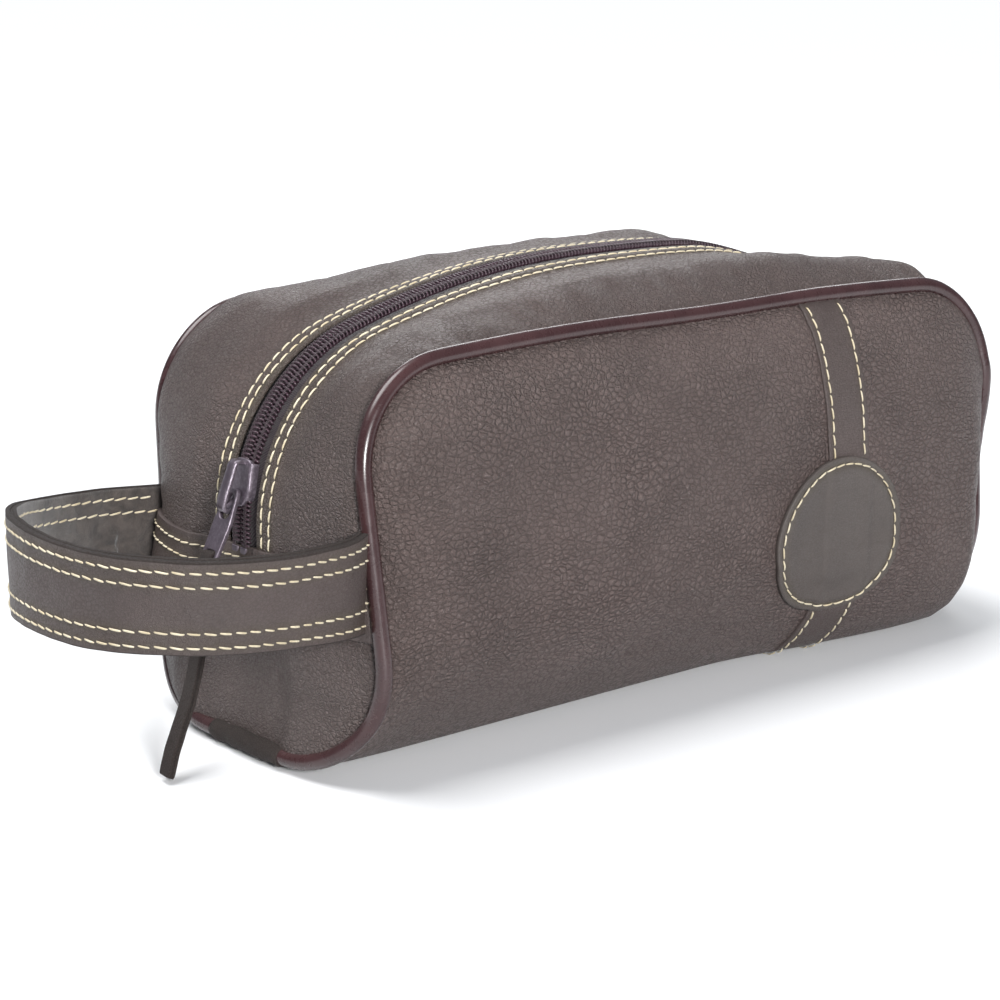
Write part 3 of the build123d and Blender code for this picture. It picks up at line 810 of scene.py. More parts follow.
def columns_at(u):
    """All the depths across the strip for each row, front seam to back seam."""
    z = strip_plain(u, 0 * u)[:, 2]
    low = 1 - np.abs(u) < LOW_SHARE
    sides = []
    for side in (-1, 1):
        seam_z = strip_plain(u[:, None], strip_columns(side, z))[:, -1, 2]
        sides.append(strip_columns(side, np.where(low, z, seam_z)))
    slot = np.linspace(-SLOT_HALF, SLOT_HALF, SLOT_COLUMNS + 2)[1:-1]
    middle = np.broadcast_to(slot, (len(u), SLOT_COLUMNS))
    return np.concatenate([sides[0][:, ::-1], middle, sides[1]], 1)


ys = columns_at(rows_u)
gusset_points = strip(rows_u[:, None], ys)
n_rows, n_cols = ys.shape
faces = grid_faces(n_rows, n_cols)
middle_z = gusset_points[:, n_cols // 2, 2]
row_of, col_of = faces[:, 0] // n_cols, faces[:, 0] % n_cols
above = middle_z >= SLOT_LOW - 0.01
in_slot = ((col_of >= INNER + PAD) & (col_of < n_cols - INNER - PAD - 1)
           & above[row_of] & above[(row_of + 1) % n_rows])
faces = faces[~in_slot]
gusset = make_object("gusset_leather", gusset_points, faces, mat_gusset)
zipped = smooth(SLOT_LOW - 4, SLOT_LOW, gusset_points[..., 2])
near = zipped * np.maximum(bell(np.abs(ys), 10.0, 1.3), bell(np.abs(ys), 13.4, 1.5))
near = np.clip(near * 0.75 + 0.55 * (np.abs(ys) < 10) * zipped, 0, 1)
set_attribute(gusset, "near_stitch", near)
thicken(gusset, LEATHER)
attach(gusset, "bag")
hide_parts("gusset_panel")
gusset_lining = make_object("gusset_lining", strip(rows_u[:, None], ys, LINING_DEPTH), faces,
                            mat_lining)
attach(gusset_lining, "bag")
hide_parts("lining_gusset", "padding_gusset")

theta = np.linspace(0, np.pi / 2, 30)
top_z = (LOW_Z + (SEAM_CORNER - 0.1) * np.sin(theta))[::-1]
upper_z = np.concatenate([top_z, np.linspace(LOW_Z, BELLY, 46)[1:]])
upper_v = (PANEL_TOP - upper_z) / (PANEL_TOP - BELLY)
half_v = np.concatenate([upper_v, np.linspace(1, 2, 48)[1:], np.linspace(2, 2.5, 20)[1:]])
rows_v = np.concatenate([half_v, 5 - half_v[::-1][1:]])


def panel_edge(v):
    """Where the panel's ends meet the seam, as distance from the middle."""
    side, t, z, phi, seam_z, seam_y = panel_frame(v)
    corner = np.sqrt(np.maximum(SEAM_CORNER ** 2 - np.maximum(z - LOW_Z, 0) ** 2, 0))
    reach = np.clip(t - 2, 0, 0.5) * 2
    y = np.where(t > 2, seam_y * (1 - reach), seam_y)
    low = end_x(np.clip(y / seam_depth(side, seam_z), 0, 1))
    return np.where(t <= 1, np.minimum(LOW_X + corner, PANEL_X), low)


span = np.linspace(-1, 1, 241)
span = np.sin(span * np.pi / 2) * 0.35 + span * 0.65            # closer together at the ends
xs = panel_edge(rows_v)[:, None] * span[None, :]
body = make_object("body_leather", panel(rows_v[:, None], xs), grid_faces(*xs.shape), mat_leather)
set_attribute(body, "near_stitch", np.zeros(xs.size))
thicken(body, LEATHER)
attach(body, "bag")
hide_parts("body_panel")
body_lining = make_object("body_lining", panel(rows_v[:, None], xs * 0.985, LINING_DEPTH),
                          grid_faces(*xs.shape), mat_lining)
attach(body_lining, "bag")
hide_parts("lining_body", "padding_body", "seam_binding_front",
            "seam_binding_back")

# ------------------------------------------------------------------ piping
PIPE = 2.45                             # radius of the piping
PIPE_SIDES, PIPE_POINTS = 20, 1000
SLEEVE_SIDES, SLEEVE_POINTS = 28, 60
SLEEVE = 3.05


def pipe_shift(u, y, points):
    """Moves edge points of the end leather out to the middle of the piping."""
    side = np.sign(y)
    out = strip_normal(u, y) * (0.85 - 1.3 * smooth(-10, 30, y))[..., None]
    low = 1 - smooth(HEM, 22, points[:, 2])
    out[:, 1] += side * np.where(side > 0, -0.6, 0.35) * (1 - low)
    out[:, 2] += 0.45 * low
    return points + out


u_left, u_right = rows_u[:1].repeat(n_cols), rows_u[-1:].repeat(n_cols)
front_edge = pipe_shift(rows_u, ys[:, 0], gusset_points[:, 0])
back_edge = pipe_shift(rows_u, ys[:, -1], gusset_points[:, -1])
left_edge = pipe_shift(u_left, ys[0], strip_plain(u_left, ys[0]))
right_edge = pipe_shift(u_right, ys[-1], strip_plain(u_right, ys[-1]))
middle = n_cols // 2
pipe_path = np.concatenate([left_edge[1:middle][::-1], front_edge, right_edge[1:-1],
                            back_edge[::-1], left_edge[middle:-1][::-1]])
pipe_path = resample(np.concatenate([pipe_path, pipe_path[:1]]), PIPE_POINTS)[:-1]
for _ in range(10):
    pipe_path = 0.5 * pipe_path + 0.25 * (np.roll(pipe_path, 1, 0) + np.roll(pipe_path, -1, 0))
verts, faces = tube(pipe_path, PIPE, PIPE_SIDES, closed=True)
swell = 1 + 0.012 * waves(verts, 30, 21)
centres = np.repeat(pipe_path, PIPE_SIDES, 0)
verts = centres + (verts - centres) * swell[:, None]
piping = make_object("piping", verts, faces, mat_piping)
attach(piping, "bag")
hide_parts("piping_skin", "piping_cord")

# leather sleeve over the joint of the piping, under the left end
sleeve_mask = ((pipe_path[:, 0] < -125) & (np.abs(pipe_path[:, 1] + 6) < 17.0)
               & (pipe_path[:, 2] < 7))
order = np.argsort(pipe_path[sleeve_mask][:, 1])
sleeve_path = resample(pipe_path[sleeve_mask][order], SLEEVE_POINTS)
across, up = transported(sleeve_path)
share = np.linspace(-1, 1, SLEEVE_POINTS)
radius = SLEEVE + 0.10 * np.sin(share * 9) - 0.35 * smooth(0.93, 1.0, np.abs(share))
verts, faces = sweep(sleeve_path, across, up, round_section(1.0, SLEEVE_SIDES), scale=radius)
outwards = unit(verts - np.repeat(sleeve_path, SLEEVE_SIDES, 0))
verts = verts + 0.10 * (waves(verts, 5, 31)[:, None] * outwards)
sleeve = make_object("piping_sleeve", verts, faces, mat_edge)
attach(sleeve, "bag")
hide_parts("piping_joint_cover")

# ------------------------------------------------------------------ zip
def zip_run(share, count):
    """Strip positions along the zip; a smaller share reaches further down the ends."""
    return np.linspace(-1 + LOW_SHARE * share, 1 - LOW_SHARE * share, count)


u_zip = zip_run(0.955, 1400)
ridge = strip_plain(u_zip, 0 * u_zip)
ridge_out = strip_normal(u_zip, 0 * u_zip)
ridge_s = lengths(ridge)


def on_ridge(s, y, lift):
    """Points beside the ridge line: along it, across it and above it."""
    n = unit(points_at(s, ridge_s, ridge_out))
    p = points_at(s, ridge_s, ridge) + n * np.asarray(lift)[..., None]
    p[..., 1] += y
    return p


COIL_PITCH, COIL_STEPS = 1.32, 14
COIL_START = 3.2                        # from the zip's end to the first turn of the coil
COIL_WIRE, SEWING = 0.37, 0.2           # radii of the coil's wire and of the thread on it
TAPE_EDGE, TAPE_WIDTH, TAPE_THICK = 0.35, 14.0, 0.5
turns = int((ridge_s[-1] - 2 * COIL_START) / COIL_PITCH)
for side, word in ((-1, "front"), (1, "back")):
    step = np.arange(turns * COIL_STEPS)
    phi = step * 2 * np.pi / COIL_STEPS
    s = COIL_START + step * COIL_PITCH / COIL_STEPS + (COIL_PITCH / 2 if side > 0 else 0)
    s = s + 0.18 * np.sin(phi)
    y = side * (2.10 + 1.78 * np.cos(phi))
    lift = -0.32 + 0.72 * np.sin(phi) - 0.12 * np.cos(phi)
    coil = make_object("zip_coil_" + word + "_teeth", *tube(on_ridge(s, y, lift), COIL_WIRE, 7),
                       mat_coil)
    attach(coil, "bag")
    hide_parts("zip_coil_" + word)
    s = np.linspace(2, ridge_s[-1] - 2, turns * 4)
    phi = s * 2 * np.pi / COIL_PITCH
    chain = []
    for offset in (2.45, 3.15):
        path = on_ridge(s, side * (offset + 0.10 * np.sin(phi)), 0.52 + 0.13 * np.cos(phi))
        chain.append(tube(path, SEWING, 6))
    sewn = make_object("zip_coil_" + word + "_thread", *joined(chain), mat_tape)
    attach(sewn, "bag")
    u = zip_run(0.94, 420)[:, None]
    across_tape = side * np.linspace(TAPE_EDGE, TAPE_WIDTH, 24)[None, ::side]
    p = strip_plain(u, across_tape)
    n = strip_normal(u, across_tape)
    drop = -1.62 + 0.05 * waves(p, 4, 41) - 1.0 * smooth(7.5, 9.0, np.abs(across_tape))
    p = p + n * drop[..., None]
    tape = make_object("zip_tape_" + word + "_weave", p, grid_faces(*p.shape[:2]), mat_tape)
    thicken(tape, TAPE_THICK)
    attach(tape, "bag")
    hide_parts("zip_tape_" + word)

STOP_LENGTH = 2.2
stop_section = np.array(flat_section(3.3, -1.2, 0.95, 0.45, 6))
for word, place, sides in (("top", 0.6, (-1, 1)), ("bottom", ridge_s[-1] - 2.8, (0,))):
    parts = []
    for side in sides:
        s = np.linspace(place, place + STOP_LENGTH, 8)
        none = 0 * s
        n = unit(on_ridge(s, none, none + 1) - on_ridge(s, none, none))
        wide = np.array([[1.0 if side else 2.2, 1.0]])
        parts.append(sweep(on_ridge(s, side * 2.1 + none, none), np.tile([0, 1.0, 0], (8, 1)), n,
                           stop_section * wide))
    stop = make_object("zip_" + word + "_stop", *joined(parts), mat_metal)
    stop = bevelled(stop, 0.25)
    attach(stop, "bag")
    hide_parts("zip_top_stops" if word == "top" else "zip_bottom_stop")

# stitching beside the zip
rows = []
for depth in STITCH_ROWS:
    for side in (-1, 1):
        u = zip_run(1.01, 1500)
        y = side * depth + 0.16 * np.sin(u * 40 + depth + side)
        rows.append(stitches(strip(u, y, 0.12), strip_normal(u, y), slant=side * 4.0,
                             start=rng.uniform(0, 1.5)))
zip_stitching = make_object("zip_stitching", *joined(rows), mat_thread)
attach(zip_stitching, "bag")


# ------------------------------------------------------------------ end bands
BAND_LOW = 43.5                         # lower edge of the end bands
BAND_ROWS = (3.2, 7.2)                  # stitch rows below their upper edge
BAND_LEVEL = 53.0                       # height at which the band's width is taken


def u_of_height(z):
    """Strip position of a height on the left end."""
    low = LOW_SHARE * z / SLOT_LOW
    high = LOW_SHARE + (1 - LOW_SHARE) * (z - SLOT_LOW) / 175
    return -1 + np.where(z <= SLOT_LOW, low, high)


def band_top(y):
    """Height of the upper edge of the end bands."""
    return 60.4 + 1.6 * smooth(22, -18, y)


for end, word in ((-1, "left"), (1, "right")):
    y = np.linspace(-1, 1, 150)
    y = y * end_limit(np.sign(y), BAND_LEVEL)
    section = np.array(flat_section(1.0, -0.35, 1.35, 0.045, 14))
    section[:, 0] += 0.5
    top = band_top(y)[:, None]
    z = BAND_LOW + (top - BAND_LOW) * section[None, :, 0]
    lift = np.broadcast_to(section[None, :, 1], z.shape)
    p = strip(u_of_height(z) * -end, y[:, None], lift)
    faces = capped_grid(*z.shape)
    band = make_object("end_band_" + word + "_leather", p, turned(faces) if end < 0 else faces,
                       mat_band)
    near = np.maximum(*[bell(z - top, -drop, 1.4) for drop in BAND_ROWS])
    set_attribute(band, "near_stitch", 0.6 * near)
    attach(band, "bag")
    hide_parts("end_band_" + word)
    rows = []
    for drop in BAND_ROWS:
        u = u_of_height(band_top(y) - drop) * -end
        rows.append(stitches(strip(u, y, 1.42), strip_normal(u, y), slant=-4 * end))
    sewn = make_object("end_band_" + word + "_stitching", *joined(rows), mat_thread)
    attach(sewn, "bag")

# ------------------------------------------------------------------ trim band and patch
TRIM_X, TRIM_WIDTH = 51.0, 18.6
TRIM_ROW = 7.0                          # stitch rows to both sides of its middle
PATCH_X, PATCH_Z, PATCH = 47.6, 45.0, 27.2                      # middle and radius
PATCH_INSET = 2.5                       # from the patch's edge to its stitches
PATCH_WIDE, PATCH_HIGH = 1.03, 0.965    # the patch is a little wider than high
v = np.concatenate([np.linspace(0.004, 1, 110), np.linspace(1, 2, 70)[1:],
                    np.linspace(2, 3, 50)[1:], np.linspace(3, 4, 70)[1:],
                    np.linspace(4, 4.996, 110)[1:]])
section = np.array(flat_section(TRIM_WIDTH, -0.4, 0.85, 0.45, 22))
x = TRIM_X + section[None, :, 0]
floor_fade = smooth(0.6, 6.0, panel(v, TRIM_X, relief=False)[:, 2])[:, None]
lift = section[None, :, 1] * np.where(section[None, :, 1] > 0, 0.08 + 0.92 * floor_fade, 1)
grooves = bell(section[:, 0], TRIM_ROW, 0.7) + bell(section[:, 0], -TRIM_ROW, 0.7)
lift = lift - 0.22 * grooves[None, :] * (section[None, :, 1] > 0)
p = panel(v[:, None], x, lift)
trim = make_object("trim_band_leather", p, capped_grid(len(v), len(section)), mat_band)
set_attribute(trim, "near_stitch", np.tile(0.6 * np.minimum(1, grooves * 1.3), (len(v), 1)))
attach(trim, "bag")
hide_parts("trim_band")

profile_v = np.linspace(0, 2.5, 1500)
profile = panel(profile_v, PATCH_X, relief=False)
profile_s = lengths(profile)
patch_s = np.interp(-PATCH_Z, -profile[:, 2], profile_s)


def patch_point(a, b, lift):
    """Point of the patch: a along the bag, b up the face, lift off it."""
    at = np.interp(patch_s - b, profile_s, profile_v)
    over_band = smooth(TRIM_WIDTH / 2 + 2.2, TRIM_WIDTH / 2 - 0.6, np.abs(PATCH_X + a - TRIM_X))
    return panel(at, PATCH_X + a, lift + 0.55 * over_band)


radii = np.concatenate([[0.6], np.linspace(2, PATCH - 3.2, 22),
                        np.linspace(PATCH - 3, PATCH - 0.35, 14),
                        [PATCH - 0.15, PATCH, PATCH, PATCH - 0.3, 1.0]])
heights = np.full(len(radii), 1.55)
heights -= 0.30 * bell(radii, PATCH - PATCH_INSET, 0.8)
heights += 0.12 * waves(np.stack([radii, 0 * radii, 0 * radii], 1), 9, 51) * (radii < PATCH - 4)
heights[-6:] = [1.50, 1.38, 1.15, 0.1, -0.3, -0.3]
angle = np.linspace(0, 2 * np.pi, 181)[:-1]
wobble = 1 + 0.006 * np.sin(3 * angle + 1) + 0.004 * np.sin(5 * angle)
a = radii[:, None] * np.cos(angle) * wobble * PATCH_WIDE
b = radii[:, None] * np.sin(angle) * wobble * PATCH_HIGH
p = patch_point(a, b, np.broadcast_to(heights[:, None], a.shape))
patch = make_object("round_patch", p, capped_grid(*a.shape), mat_smooth)
near = bell(radii - PATCH, -PATCH_INSET, 1.3)
set_attribute(patch, "near_stitch", np.repeat(0.6 * near, len(angle)))
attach(patch, "bag")
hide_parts("disc_patch")

rows = []
v_row = np.linspace(0.02, 4.98, 1500)
for offset in (-TRIM_ROW, TRIM_ROW):
    path = panel(v_row, TRIM_X + offset, 0.72)
    normals = panel_normal(v_row, TRIM_X + offset)
    clear = np.hypot(path[:, 0] - PATCH_X, path[:, 2] - PATCH_Z) > PATCH - 2.0
    clear |= path[:, 1] > -20
    cuts = np.flatnonzero(np.diff(clear.astype(int))) + 1
    for piece in np.split(np.arange(len(v_row)), cuts):
        on_floor = path[piece][:, 2].max() < 1.5
        if clear[piece[0]] and len(piece) > 20 and not on_floor:
            rows.append(stitches(path[piece], normals[piece], slant=4.0))
sewn = make_object("trim_stitching", *joined(rows), mat_thread)
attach(sewn, "bag")
around = np.linspace(0.2, 2 * np.pi + 0.2, 720)
ring_a = (PATCH - PATCH_INSET) * np.cos(around) * PATCH_WIDE
ring_b = (PATCH - PATCH_INSET) * np.sin(around) * PATCH_HIGH
path, outer = [patch_point(ring_a, ring_b, height) for height in (1.38, 2.4)]
sewn = make_object("patch_stitching", *stitches(path, unit(outer - path), slant=4.0), mat_thread)
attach(sewn, "bag")

# ------------------------------------------------------------------ wrist strap
STRAP_KNOTS = [                          # x, y, z of the strap's middle, and its lean in degrees
    (-124.3, -46.4, 60.0, 0), (-129.0, -49.6, 60.2, 2), (-139.0, -55.6, 61.2, 7),
    (-150.0, -59.2, 62.5, 11), (-165.0, -61.4, 63.9, 13), (-178.0, -61.0, 65.2, 13),
    (-188.2, -58.2, 66.2, 12), (-196.6, -52.4, 66.9, 10), (-202.6, -42.5, 66.6, 6),
    (-206.3, -28.0, 66.0, 3), (-207.1, -12.0, 65.6, 1), (-205.0, 3.0, 64.9, 0),
    (-199.6, 18.0, 63.1, 0), (-190.8, 33.0, 60.8, 0), (-179.2, 45.0, 57.8, 0),
    (-166.0, 52.6, 55.8, 0), (-150.0, 56.8, 54.2, 0), (-131.5, 56.6, 52.6, 0),
    (-123.0, 54.4, 52.2, 0)]
STRAP_POINTS = 300
STRAP_WIDTHS = [1.0, 0.965, 0.935, 0.925, 0.95, 0.985, 1.0, 1.0]
STRAP_MIDDLE = (-160.0, 0, 60.0)        # a point inside the loop
STRAP_ROWS = (11.3, 6.9, -7.4, -11.9)   # stitch rows across the strap
knots = spline(STRAP_KNOTS, STRAP_POINTS)
strap_path, lean = knots[:, :3], np.radians(knots[:, 3])
t = tangents(strap_path)
flat = unit(np.stack([t[:, 1], -t[:, 0], 0 * lean], 1)) * -1
outward = strap_path - np.array(STRAP_MIDDLE)
flat *= np.sign((flat * outward).sum(1))[:, None]
upright = unit(np.cross(t, flat))
upright *= np.sign(upright[:, 2])[:, None]
strap_up = unit(upright * np.cos(lean)[:, None] + flat * np.sin(lean)[:, None])
strap_out = unit(flat * np.cos(lean)[:, None] - upright * np.sin(lean)[:, None])
widen = np.interp(np.linspace(0, 1, STRAP_POINTS), [0, 0.1, 0.22, 0.36, 0.47, 0.58, 0.7, 1],
                  STRAP_WIDTHS)


def strap_layer(name, width, low, high, edge, material, node, columns=16, relief=0.0):
    """One layer of the strap along its whole length; its sides and ends show the cut edge."""
    section = np.array(flat_section(width, low, high, edge, columns))
    verts, faces = sweep(strap_path, strap_up * widen[:, None], strap_out, section)
    if relief:
        n = np.repeat(strap_out, len(section), 0)
        verts = verts + n * (relief * waves(verts, 11, 61))[:, None]
    obj = make_object(name, verts, faces, material)
    column = np.arange(len(obj.data.polygons)) % len(section)
    if high > 1:
        facing = column < columns - 1
    else:
        facing = (column > columns + 3) & (column < 2 * columns + 3)
    facing[(len(strap_path) - 1) * len(section):] = False
    obj.data.materials.append(mat_edge)
    obj.data.polygons.foreach_set("material_index", (~facing).astype(np.int32))
    off = np.tile(np.abs(section[:, 0]), len(strap_path))
    set_attribute(obj, "near_stitch", 0.6 * np.maximum(bell(off, 11.6, 1.5), bell(off, 7.2, 1.5)))
    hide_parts(*node)
    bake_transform(obj)
    return obj


strap_layer("strap_outer_leather", 29.0, 0.15, 1.65, 0.45, mat_band,
            ("strap_outer", "strap_end_front", "strap_end_back"), 30, 0.10)
strap_layer("strap_core_board", 28.5, -0.5, 0.2, 0.2, mat_edge, ("strap_core",))
strap_layer("strap_inner_suede", 28.8, -1.65, -0.45, 0.4, mat_suede, ("strap_lining",),
            30, 0.14)
rows = []
for offset in STRAP_ROWS:
    for level, facing in ((1.62, 1), (-1.72, -1)):
        inset = slice(6, 296) if facing > 0 else slice(14, 290)
        path = (strap_path + strap_up * (offset * widen)[:, None] + strap_out * level)[inset]
        rows.append(stitches(path, strap_out[inset] * facing, slant=-7.0 * facing, pitch=4.25,
                             length=3.95, radius=0.33, start=rng.uniform(0, 2)))
strap_stitching = make_object("strap_stitching", *joined(rows), mat_thread)
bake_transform(strap_stitching)

# ------------------------------------------------------------------ slider, puller and thong
SLIDE_CENTRE = np.array([-79.0, 0, 66.01])
SLIDE_ANGLE = math.radians(13.96)
slide_out = np.array([-math.cos(SLIDE_ANGLE), 0, math.sin(SLIDE_ANGLE)])
slide_up = np.array([math.sin(SLIDE_ANGLE), 0, math.cos(SLIDE_ANGLE)])
slide_at = SLIDE_CENTRE + slide_out * 58.0
lateral = np.array([0, 1.0, 0])


def plate(name, outlines, thickness, rounding, origin, across, along, facing, material):
    """A flat metal part with rounded edges from closed outlines; later outlines are holes."""
    curve = bpy.data.curves.new(name, "CURVE")
    curve.dimensions = "2D"
    curve.fill_mode = "BOTH"
    curve.extrude = (thickness / 2 - rounding) * MM
    curve.bevel_depth = rounding * MM
    curve.bevel_resolution = 2
    curve.offset = -rounding * MM
    for outline_points in outlines:
        line = curve.splines.new("POLY")
        line.points.add(len(outline_points) - 1)
        for point, (px, py) in zip(line.points, outline_points):
            point.co = (px * MM, py * MM, 0, 1)
        line.use_cyclic_u = True
    holder = placed(name + "_curve", curve)
    mesh = evaluated_mesh(holder)
    bpy.data.objects.remove(holder)
    co = np.array([vert.co for vert in mesh.vertices]).reshape(-1, 3)
    world = origin * MM + co[:, :1] * across + co[:, 1:2] * along + co[:, 2:] * facing
    mesh.vertices.foreach_set("co", world.astype(np.float32).ravel())
    mesh.materials.clear()
    mesh.materials.append(material)
    shade_smooth(mesh)
    if np.cross(across, along) @ facing < 0:
        mesh.flip_normals()
    mesh.update()
    return placed(name, mesh)


def mirrored(half):
    """A closed outline from its right half, top to bottom."""
    return half + [(-a, b) for a, b in half[::-1] if abs(a) > 1e-6]


top_half = [(1.4, 6.5), (3.0, 6.3), (3.9, 5.4), (4.1, 2.0), (4.6, -0.8), (4.75, -2.8), (4.1, -5.2),
            (2.8, -6.9), (1.2, -7.2)]
slider_top = plate("slider_top_plate", [mirrored(top_half)], 1.3, 0.45,
                   slide_at + slide_out * 0.95, lateral, slide_up, slide_out, mat_metal)
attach(slider_top, "slider")
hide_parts("slider_body")
slider_base = plate("slider_base_plate", [mirrored([(q * 0.97, r) for q, r in top_half])], 1.0, 0.3,
                    slide_at - slide_out * 2.75, lateral, slide_up, slide_out, mat_metal)
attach(slider_base, "slider")
parts = []
for side in (-1, 1):
    line = np.array([(3.75, 5.6), (3.95, 2.0), (4.4, -0.8), (4.5, -2.8), (3.9, -5.0)])
    line = spline(np.concatenate([line, 0 * line[:, :1]], 1), 24)
    path = slide_at + lateral * side * line[:, :1] + slide_up * line[:, 1:2] + slide_out * 0.1
    section = [(0.38, 1.1), (0.2, 1.3), (-0.2, 1.3), (-0.38, 1.1), (-0.38, -1.4), (-0.2, -1.6),
               (0.2, -1.6), (0.38, -1.4)]
    t = tangents(path)
    up = np.tile(slide_out, (len(path), 1))
    parts.append(sweep(path, np.cross(up, t), up, section))
path = slide_at + slide_up * np.array([[-6.5], [-3.7]]) - slide_out * 0.5
parts.append(sweep(resample(path, 6), np.tile(lateral, (6, 1)), np.tile(slide_out, (6, 1)),
                   flat_section(1.3, -2.0, 1.9, 0.3, 4)))
rails = make_object("slider_rails", *joined(parts), mat_metal)
rails = bevelled(rails, 0.12, 2, 50)
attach(rails, "slider")

bridge_line = [(5.3, 1.0), (5.4, 2.4), (5.35, 3.6), (4.9, 4.5), (3.8, 4.95), (1.0, 5.3), (-2.5, 5.8),
               (-5.8, 6.2), (-8.0, 6.1), (-9.0, 5.2), (-8.8, 4.0), (-7.6, 2.8), (-6.2, 1.8), (-5.4, 1.0)]
BRIDGE_POINTS = 90
bridge = spline(np.concatenate([np.array(bridge_line), np.zeros((14, 1))], 1), BRIDGE_POINTS)
path = slide_at + slide_up * bridge[:, :1] + slide_out * bridge[:, 1:2]
t = tangents(path)
side_dir = np.tile(lateral, (BRIDGE_POINTS, 1))
broad = 1.0 + 0.12 * np.sin(np.pi * np.linspace(0, 1, BRIDGE_POINTS))
section = np.array(flat_section(3.2, -0.65, 0.65, 0.22, 6))
verts, faces = sweep(path, side_dir * broad[:, None], np.cross(t, side_dir), section)
crown = make_object("slider_bridge_bar", verts, faces, mat_metal)
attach(crown, "slider")
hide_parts("slider_bridge")

PULL_LEAN = math.radians(26.3)
pull_down = np.array([-math.sin(PULL_LEAN), 0, -math.cos(PULL_LEAN)])
pull_face = np.array([-math.cos(PULL_LEAN), 0, math.sin(PULL_LEAN)])
pull_at = np.array([-138.58, 0, 77.5])
outer_half = [(0.8, 0.8), (1.9, 0.6), (2.5, -0.3), (2.85, -2.0), (3.3, -4.5), (3.75, -7.0),
              (4.1, -9.2), (4.15, -11.5), (3.95, -15.5), (3.8, -19.4), (3.75, -21.5), (3.4, -21.9),
              (2.65, -21.9), (2.5, -21.5), (2.5, -18.5), (2.1, -18.1), (1.0, -18.0)]
eye = [(1.2, -1.0), (1.65, -2.2), (2.05, -4.2), (2.35, -6.0), (2.2, -7.4), (1.35, -8.25),
       (0, -8.5), (-1.35, -8.25), (-2.2, -7.4), (-2.35, -6.0), (-2.05, -4.2), (-1.65, -2.2),
       (-1.2, -1.0), (0, -0.8)]
puller = plate("puller_plate", [mirrored(outer_half), eye], 1.5, 0.42, pull_at, lateral,
               -pull_down, pull_face, mat_metal)
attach(puller, "puller")
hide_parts("puller_tab")
PIN_DOWN = 20.1
ends = pull_at + pull_down * PIN_DOWN + np.array([[0, -3.2, 0], [0, 3.2, 0]])
pin = make_object("puller_pin", *tube(resample(ends, 8), 0.75, 14), mat_metal)
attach(pin, "puller")

THONG = [(-148.3, 0, 57.4), (-150.4, -0.9, 44.8), (-154.2, -2.4, 31.1), (-157.8, -4.3, 23.0),
         (-161.4, -6.2, 15.2), (-164.8, -8.1, 7.5), (-167.8, -9.7, 1.5)]


def nurbs_line(points):
    """Points read from a NURBS spline that has the given points as its control points."""
    curve = bpy.data.curves.new("route", "CURVE")
    curve.dimensions = "3D"
    line = curve.splines.new("NURBS")
    line.points.add(len(points) - 1)
    for point, place in zip(line.points, points):
        point.co = (*place, 1)
    line.order_u = 3
    line.use_endpoint_u = True
    line.resolution_u = 16
    holder = bpy.data.objects.new("route", curve)
    mesh = bpy.data.meshes.new_from_object(holder)
    path = np.array([vertex.co[:] for vertex in mesh.vertices])
    bpy.data.objects.remove(holder)
    bpy.data.meshes.remove(mesh)
    return path


THONG_POINTS, FOLD_POINTS = 90, 17      # along each half, and around the pin
THONG_WIDTH, THONG_HALF, THONG_GAP = 5.3, 0.52, 0.62
centre = resample(nurbs_line(THONG), THONG_POINTS)
t = tangents(centre)
yaw = np.radians(-4.0) * smooth(0, 30, lengths(centre))
wide = np.stack([-np.sin(yaw), np.cos(yaw), 0 * yaw], 1)
face = unit(np.cross(wide, t))
pin_at = pull_at + pull_down * PIN_DOWN
turn = np.radians(np.linspace(0, 180, FOLD_POINTS))
out = unit(np.cross([0, 1.0, 0], pull_down))
loop = pin_at + (out * np.cos(turn)[:, None] - pull_down * np.sin(turn)[:, None]) * 1.4
apart = face * np.sign((face @ out).mean()) * THONG_GAP
folded = np.concatenate([(centre + apart)[::-1], loop, centre - apart])
folded_wide = np.concatenate([wide[::-1], np.tile([0, 1.0, 0], (FOLD_POINTS, 1)), wide])
for _ in range(3):
    folded[60:140] = (0.5 * folded + 0.25 * (np.roll(folded, 1, 0) + np.roll(folded, -1, 0)))[60:140]
t = tangents(folded)
away = np.linspace(0, 1, THONG_POINTS)
taper = 1.0 + 0.10 * np.concatenate([away[::-1], np.zeros(FOLD_POINTS), away])
tip = np.ones(len(folded))
tip[:3] = [0.80, 0.93, 0.985]
tip[-3:] = tip[:3][::-1]
verts, faces = sweep(folded, folded_wide * (taper * tip)[:, None], unit(np.cross(t, folded_wide)),
                     flat_section(THONG_WIDTH, -THONG_HALF, THONG_HALF, 0.3, 5))
verts = verts + 0.06 * waves(verts, 6, 71)[:, None] * np.array([-0.9, 0, 0.2])
thong = make_object("thong_leather", verts, faces, mat_edge)
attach(thong, "thong")
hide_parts("pull_thong")
float(lengths(centre)[-1]) * MM
tie = centre[5] + wide[5] * np.linspace(-1.6, 1.6, 9)[:, None]
tie = tie + pull_face * (1.35 + 0.25 * np.cos(np.linspace(-1, 1, 9) * 1.5))[:, None]
knot = make_object("thong_tack_stitch", *tube(tie, 0.42, 10), mat_thread)
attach(knot, "thong")

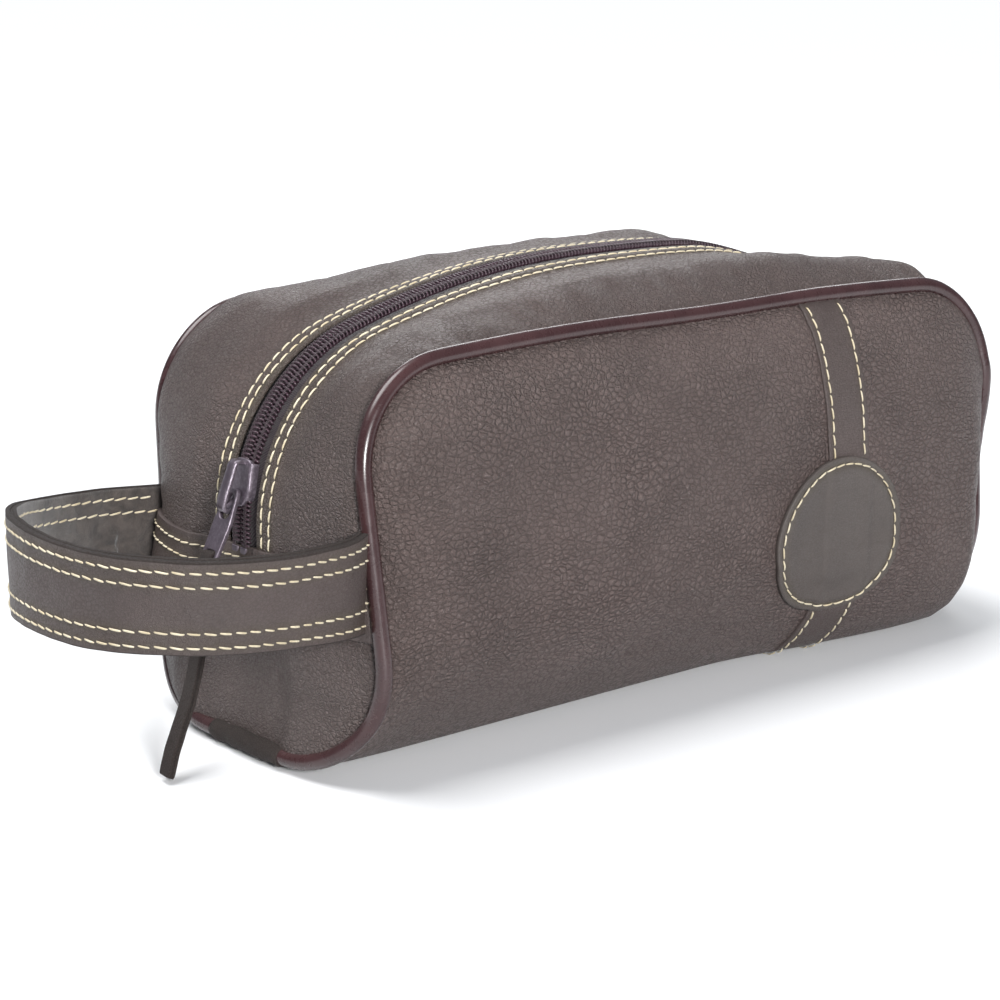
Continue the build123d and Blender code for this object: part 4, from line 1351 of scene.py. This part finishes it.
# ------------------------------------------------------------------ studio
bpy.ops.mesh.primitive_plane_add(size=60, location=(0, 0, -0.0003))
floor = bpy.context.object
floor.name = "studio_floor"
floor.data.materials.append(mat_floor)
bpy.ops.mesh.primitive_uv_sphere_add(radius=25, segments=48, ring_count=24)
backdrop = bpy.context.object
backdrop.name = "studio_backdrop"
white = Nodes("studio_white")
white.tree.nodes.remove(white.shader)
glow = white.tree.nodes.new("ShaderNodeEmission")
glow.inputs["Strength"].default_value = 1.0
white.link(glow.outputs[0], white.output.inputs["Surface"])
backdrop.data.materials.append(white.material)
for stage_piece in (floor, backdrop):
    stage_piece.visible_diffuse = False
    stage_piece.visible_glossy = stage_piece is floor
backdrop.visible_shadow = False

world = bpy.data.worlds.new("studio")
bpy.context.scene.world = world
world.use_nodes = True
background = world.node_tree.nodes["Background"]
background.inputs["Color"].default_value = (0.82, 0.90, 1.0, 1)
background.inputs["Strength"].default_value = 0.22


def facing(direction):
    """Turn of a light or camera that looks in the given direction."""
    return Vector(direction).to_track_quat("-Z", "Y").to_euler()


def area_light(name, place, target, size, power):
    """A white panel light."""
    light = bpy.data.lights.new(name, "AREA")
    light.shape = "RECTANGLE"
    light.size, light.size_y = size
    light.energy = power
    holder = placed(name, light)
    holder.location = place
    holder.rotation_euler = facing(Vector(target) - Vector(place))
    holder.visible_camera = False


sun = bpy.data.lights.new("sky_light", "SUN")
sun.energy = 3.3
sun.angle = math.radians(42)
sun_holder = placed("sky_light", sun)
sun_holder.rotation_euler = facing((0.32, -0.30, -1.0))
area_light("front_softbox", (-0.62, -1.42, 0.56), (0.0, 0, 0.08), (0.35, 0.28), 31)
area_light("rim_softbox", (0.85, 1.15, 0.72), (0.0, 0, 0.12), (1.1, 0.5), 7)

CAMERA_PLACE = (-0.485245, -0.553396, 0.241399)
CAMERA_AIM = (0.605722, 0.755833, -0.248630)
camera_data = bpy.data.cameras.new("camera")
camera = placed("camera", camera_data)
camera.location = CAMERA_PLACE
camera.rotation_euler = facing(CAMERA_AIM)
camera_data.lens = 84.52
camera_data.sensor_width = 36
camera_data.clip_start = 0.05
camera_data.clip_end = 80
bpy.context.scene.camera = camera
bpy.context.scene.view_settings.view_transform = "Standard"
bpy.context.scene.view_settings.look = "None"
